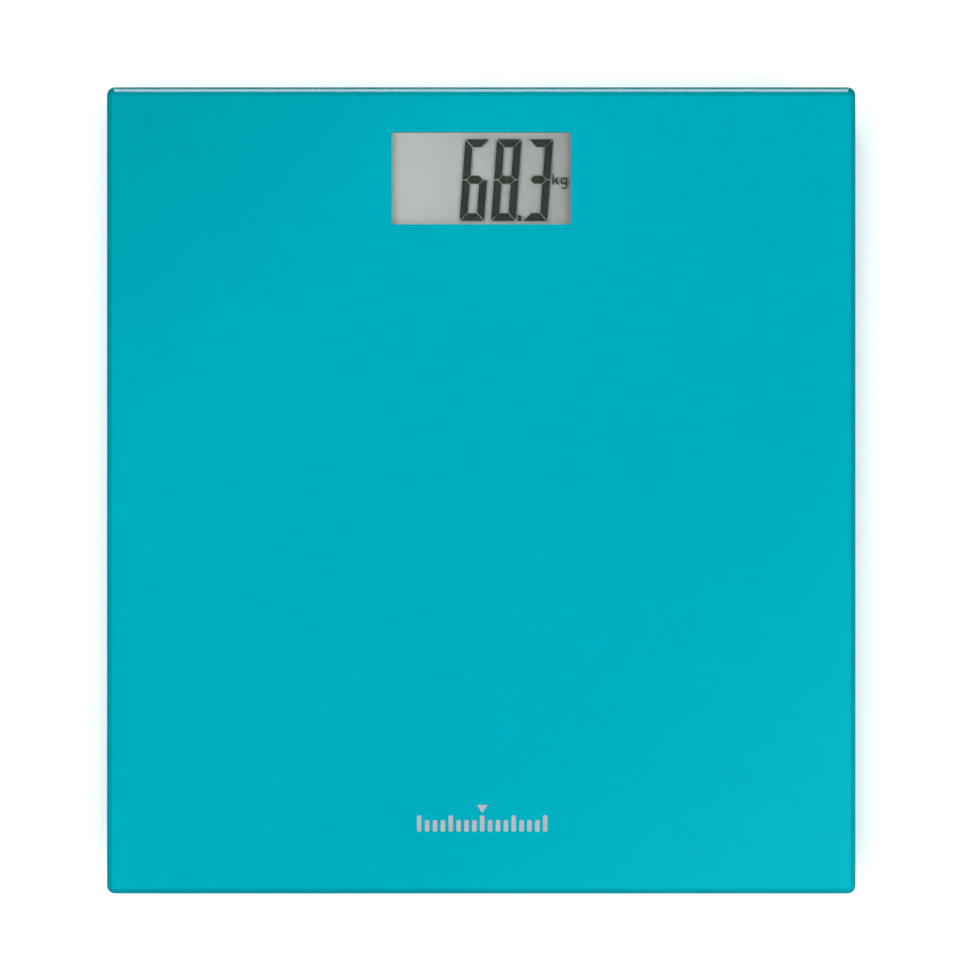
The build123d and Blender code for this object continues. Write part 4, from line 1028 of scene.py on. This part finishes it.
epoxy, tree, place = new_finish("black_potting_epoxy")
dip = add(tree, "ShaderNodeTexNoise", {"Vector": place, "Scale": 1 / (2 * MM), "Detail": 3.0})
swell = add(tree, "ShaderNodeBump", {"Height": dip.outputs["Fac"], "Strength": 0.4, "Distance": 0.3 * MM})
tone = add(
    tree,
    "ShaderNodeMix",
    {0: dip.outputs["Fac"], 6: linear("0E0E10"), 7: linear("1B1B1D")},
    data_type="RGBA",
)
skin = add(
    tree, "ShaderNodeBsdfPrincipled", {
        "Base Color": tone.outputs[2], "Roughness": 0.25, "Normal": swell.outputs[0]
    }
)
add(tree, "ShaderNodeOutputMaterial", {"Surface": skin.outputs[0]})
dress(epoxy, "driver_chip")

fired, tree, place = new_finish("fired_ceramic")
speck = add(tree, "ShaderNodeTexNoise", {"Vector": place, "Scale": 1 / (0.3 * MM), "Detail": 3.0})
tone = add(
    tree,
    "ShaderNodeMix",
    {0: speck.outputs["Fac"], 6: linear("8A6E54"), 7: linear("74593F")},
    data_type="RGBA",
)
skin = add(tree, "ShaderNodeBsdfPrincipled", {"Base Color": tone.outputs[2], "Roughness": 0.4})
add(tree, "ShaderNodeOutputMaterial", {"Surface": skin.outputs[0]})
dress(fired, "chip_parts")


def plated_metal(name, colour, shade, smooth, rough, mark):
    """Plated or drawn metal: slow changes of gloss and tone, a mark's size in metres apart."""
    finish, tree, place = new_finish(name)
    wear = add(tree, "ShaderNodeTexNoise", {"Vector": place, "Scale": 1 / mark, "Detail": 5.0})
    tone = add(
        tree, "ShaderNodeMix", {
            0: wear.outputs["Fac"], 6: linear(colour), 7: linear(shade)
        }, data_type="RGBA"
    )
    gloss = add(
        tree, "ShaderNodeMapRange", {"Value": wear.outputs["Fac"], "To Min": smooth, "To Max": rough}
    )
    skin = add(
        tree, "ShaderNodeBsdfPrincipled", {
            "Base Color": tone.outputs[2], "Metallic": 1.0, "Roughness": gloss.outputs[0]
        }
    )
    add(tree, "ShaderNodeOutputMaterial", {"Surface": skin.outputs[0]})
    return finish


dress(plated_metal("drawn_crystal_can", "C9C9C4", "B5B5B0", 0.12, 0.3, 1.0 * MM), "crystal")

# Solder joints where the leads land: small bright domes, one Geometry Nodes piece.
JOINT_RADIUS, JOINT_TIP, JOINT_HEIGHT, LEAD_PITCH = 0.62 * MM, 0.15 * MM, 0.75 * MM, 1.3 * MM
FRONT_LANDING, REAR_LANDING = -8.0 * MM, 4.0 * MM
board_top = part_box("circuit_board")[1][2]
landings = []
for corner in CORNERS:
    leads_low, leads_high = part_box(f"cell_leads_{corner}")
    right_side = leads_high[0] > 0
    landing_x = leads_low[0] if right_side else leads_high[0]
    landing_y = window_middle[1] + (FRONT_LANDING if "front" in corner else REAR_LANDING)
    landings += [(landing_x, landing_y + n * LEAD_PITCH, board_top) for n in (-1, 0, 1)]
spots_mesh = bpy.data.meshes.new("landings")
spots_mesh.from_pydata(landings, [], [])
spots = bpy.data.objects.new("landings", spots_mesh)
tree, sizes = new_nodes(
    "solder_joints",
    {
        "Landings": "NodeSocketObject",
        "Radius": "NodeSocketFloat",
        "Height": "NodeSocketFloat",
        "Finish": "NodeSocketMaterial",
    },
)
points = add(tree, "GeometryNodeObjectInfo", {"Object": sizes["Landings"]})
dome = add(
    tree,
    "GeometryNodeMeshCone",
    {"Vertices": 14, "Side Segments": 1, "Radius Bottom": sizes["Radius"], "Depth": sizes["Height"]},
)
dome.inputs["Radius Top"].default_value = JOINT_TIP
domes = add(
    tree, "GeometryNodeInstanceOnPoints", {
        "Points": points.outputs["Geometry"], "Instance": dome.outputs["Mesh"]
    }
)
real = add(tree, "GeometryNodeRealizeInstances", {"Geometry": domes.outputs[0]})
wetted = add(tree, "GeometryNodeSetMaterial", {"Geometry": real.outputs[0], "Material": sizes["Finish"]})
add(tree, "NodeGroupOutput", {"Geometry": wetted.outputs[0]})
solder = plated_metal("reflowed_tin_solder", "D9DADB", "C2C4C6", 0.1, 0.28, 0.6 * MM)
joints_mesh = grown(
    "solder_joints", tree, {
        "Landings": spots, "Radius": JOINT_RADIUS, "Height": JOINT_HEIGHT, "Finish": solder
    }
)
bpy.data.objects.remove(spots)
solder_joints = put_in_scene("solder_joints", joints_mesh)
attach(solder_joints, "base")

# ---------------------------------------------------------------- unit button and switch
# A satin ABS cap in a dish of the tray's floor, over a stamped switch with a nylon plunger.
dress(moulded_abs("button_abs", "A9B0B5", "A1A8AD", 0.38), "unit_button")
dress(moulded_abs("plunger_nylon", "1B1C1E", "151617", 0.5), "switch_plunger")
dress(plated_metal("stamped_switch_shell", "BDBDB8", "A6A6A1", 0.22, 0.42, 0.8 * MM), "tact_switch")

# ---------------------------------------------------------------- battery and label
# A nickel-plated steel coin cell between two plated spring leaves, and a blank foil label.
dress(plated_metal("plated_cell_steel", "CFCDC6", "BDBBB4", 0.2, 0.38, 1.6 * MM), "coin_cell")
dress(
    plated_metal("nickel_plated_spring_steel", "CFC9B8", "B9B3A3", 0.18, 0.36, 1.2 * MM),
    "battery_contact_minus",
    "battery_contact_plus",
)
foil, tree, place = new_finish("matt_label_foil")
crease = add(tree, "ShaderNodeTexNoise", {"Vector": place, "Scale": 1 / (9 * MM), "Detail": 4.0})
tone = add(
    tree,
    "ShaderNodeMix",
    {0: crease.outputs["Fac"], 6: linear("C9CCCF"), 7: linear("BEC2C5")},
    data_type="RGBA",
)
wrinkle = add(
    tree, "ShaderNodeBump", {"Height": crease.outputs["Fac"], "Strength": 0.15, "Distance": 0.4 * MM}
)
skin = add(
    tree,
    "ShaderNodeBsdfPrincipled",
    {"Base Color": tone.outputs[2], "Roughness": 0.42, "Metallic": 0.35, "Normal": wrinkle.outputs[0]},
)
add(tree, "ShaderNodeOutputMaterial", {"Surface": skin.outputs[0]})
dress(foil, "blank_label")
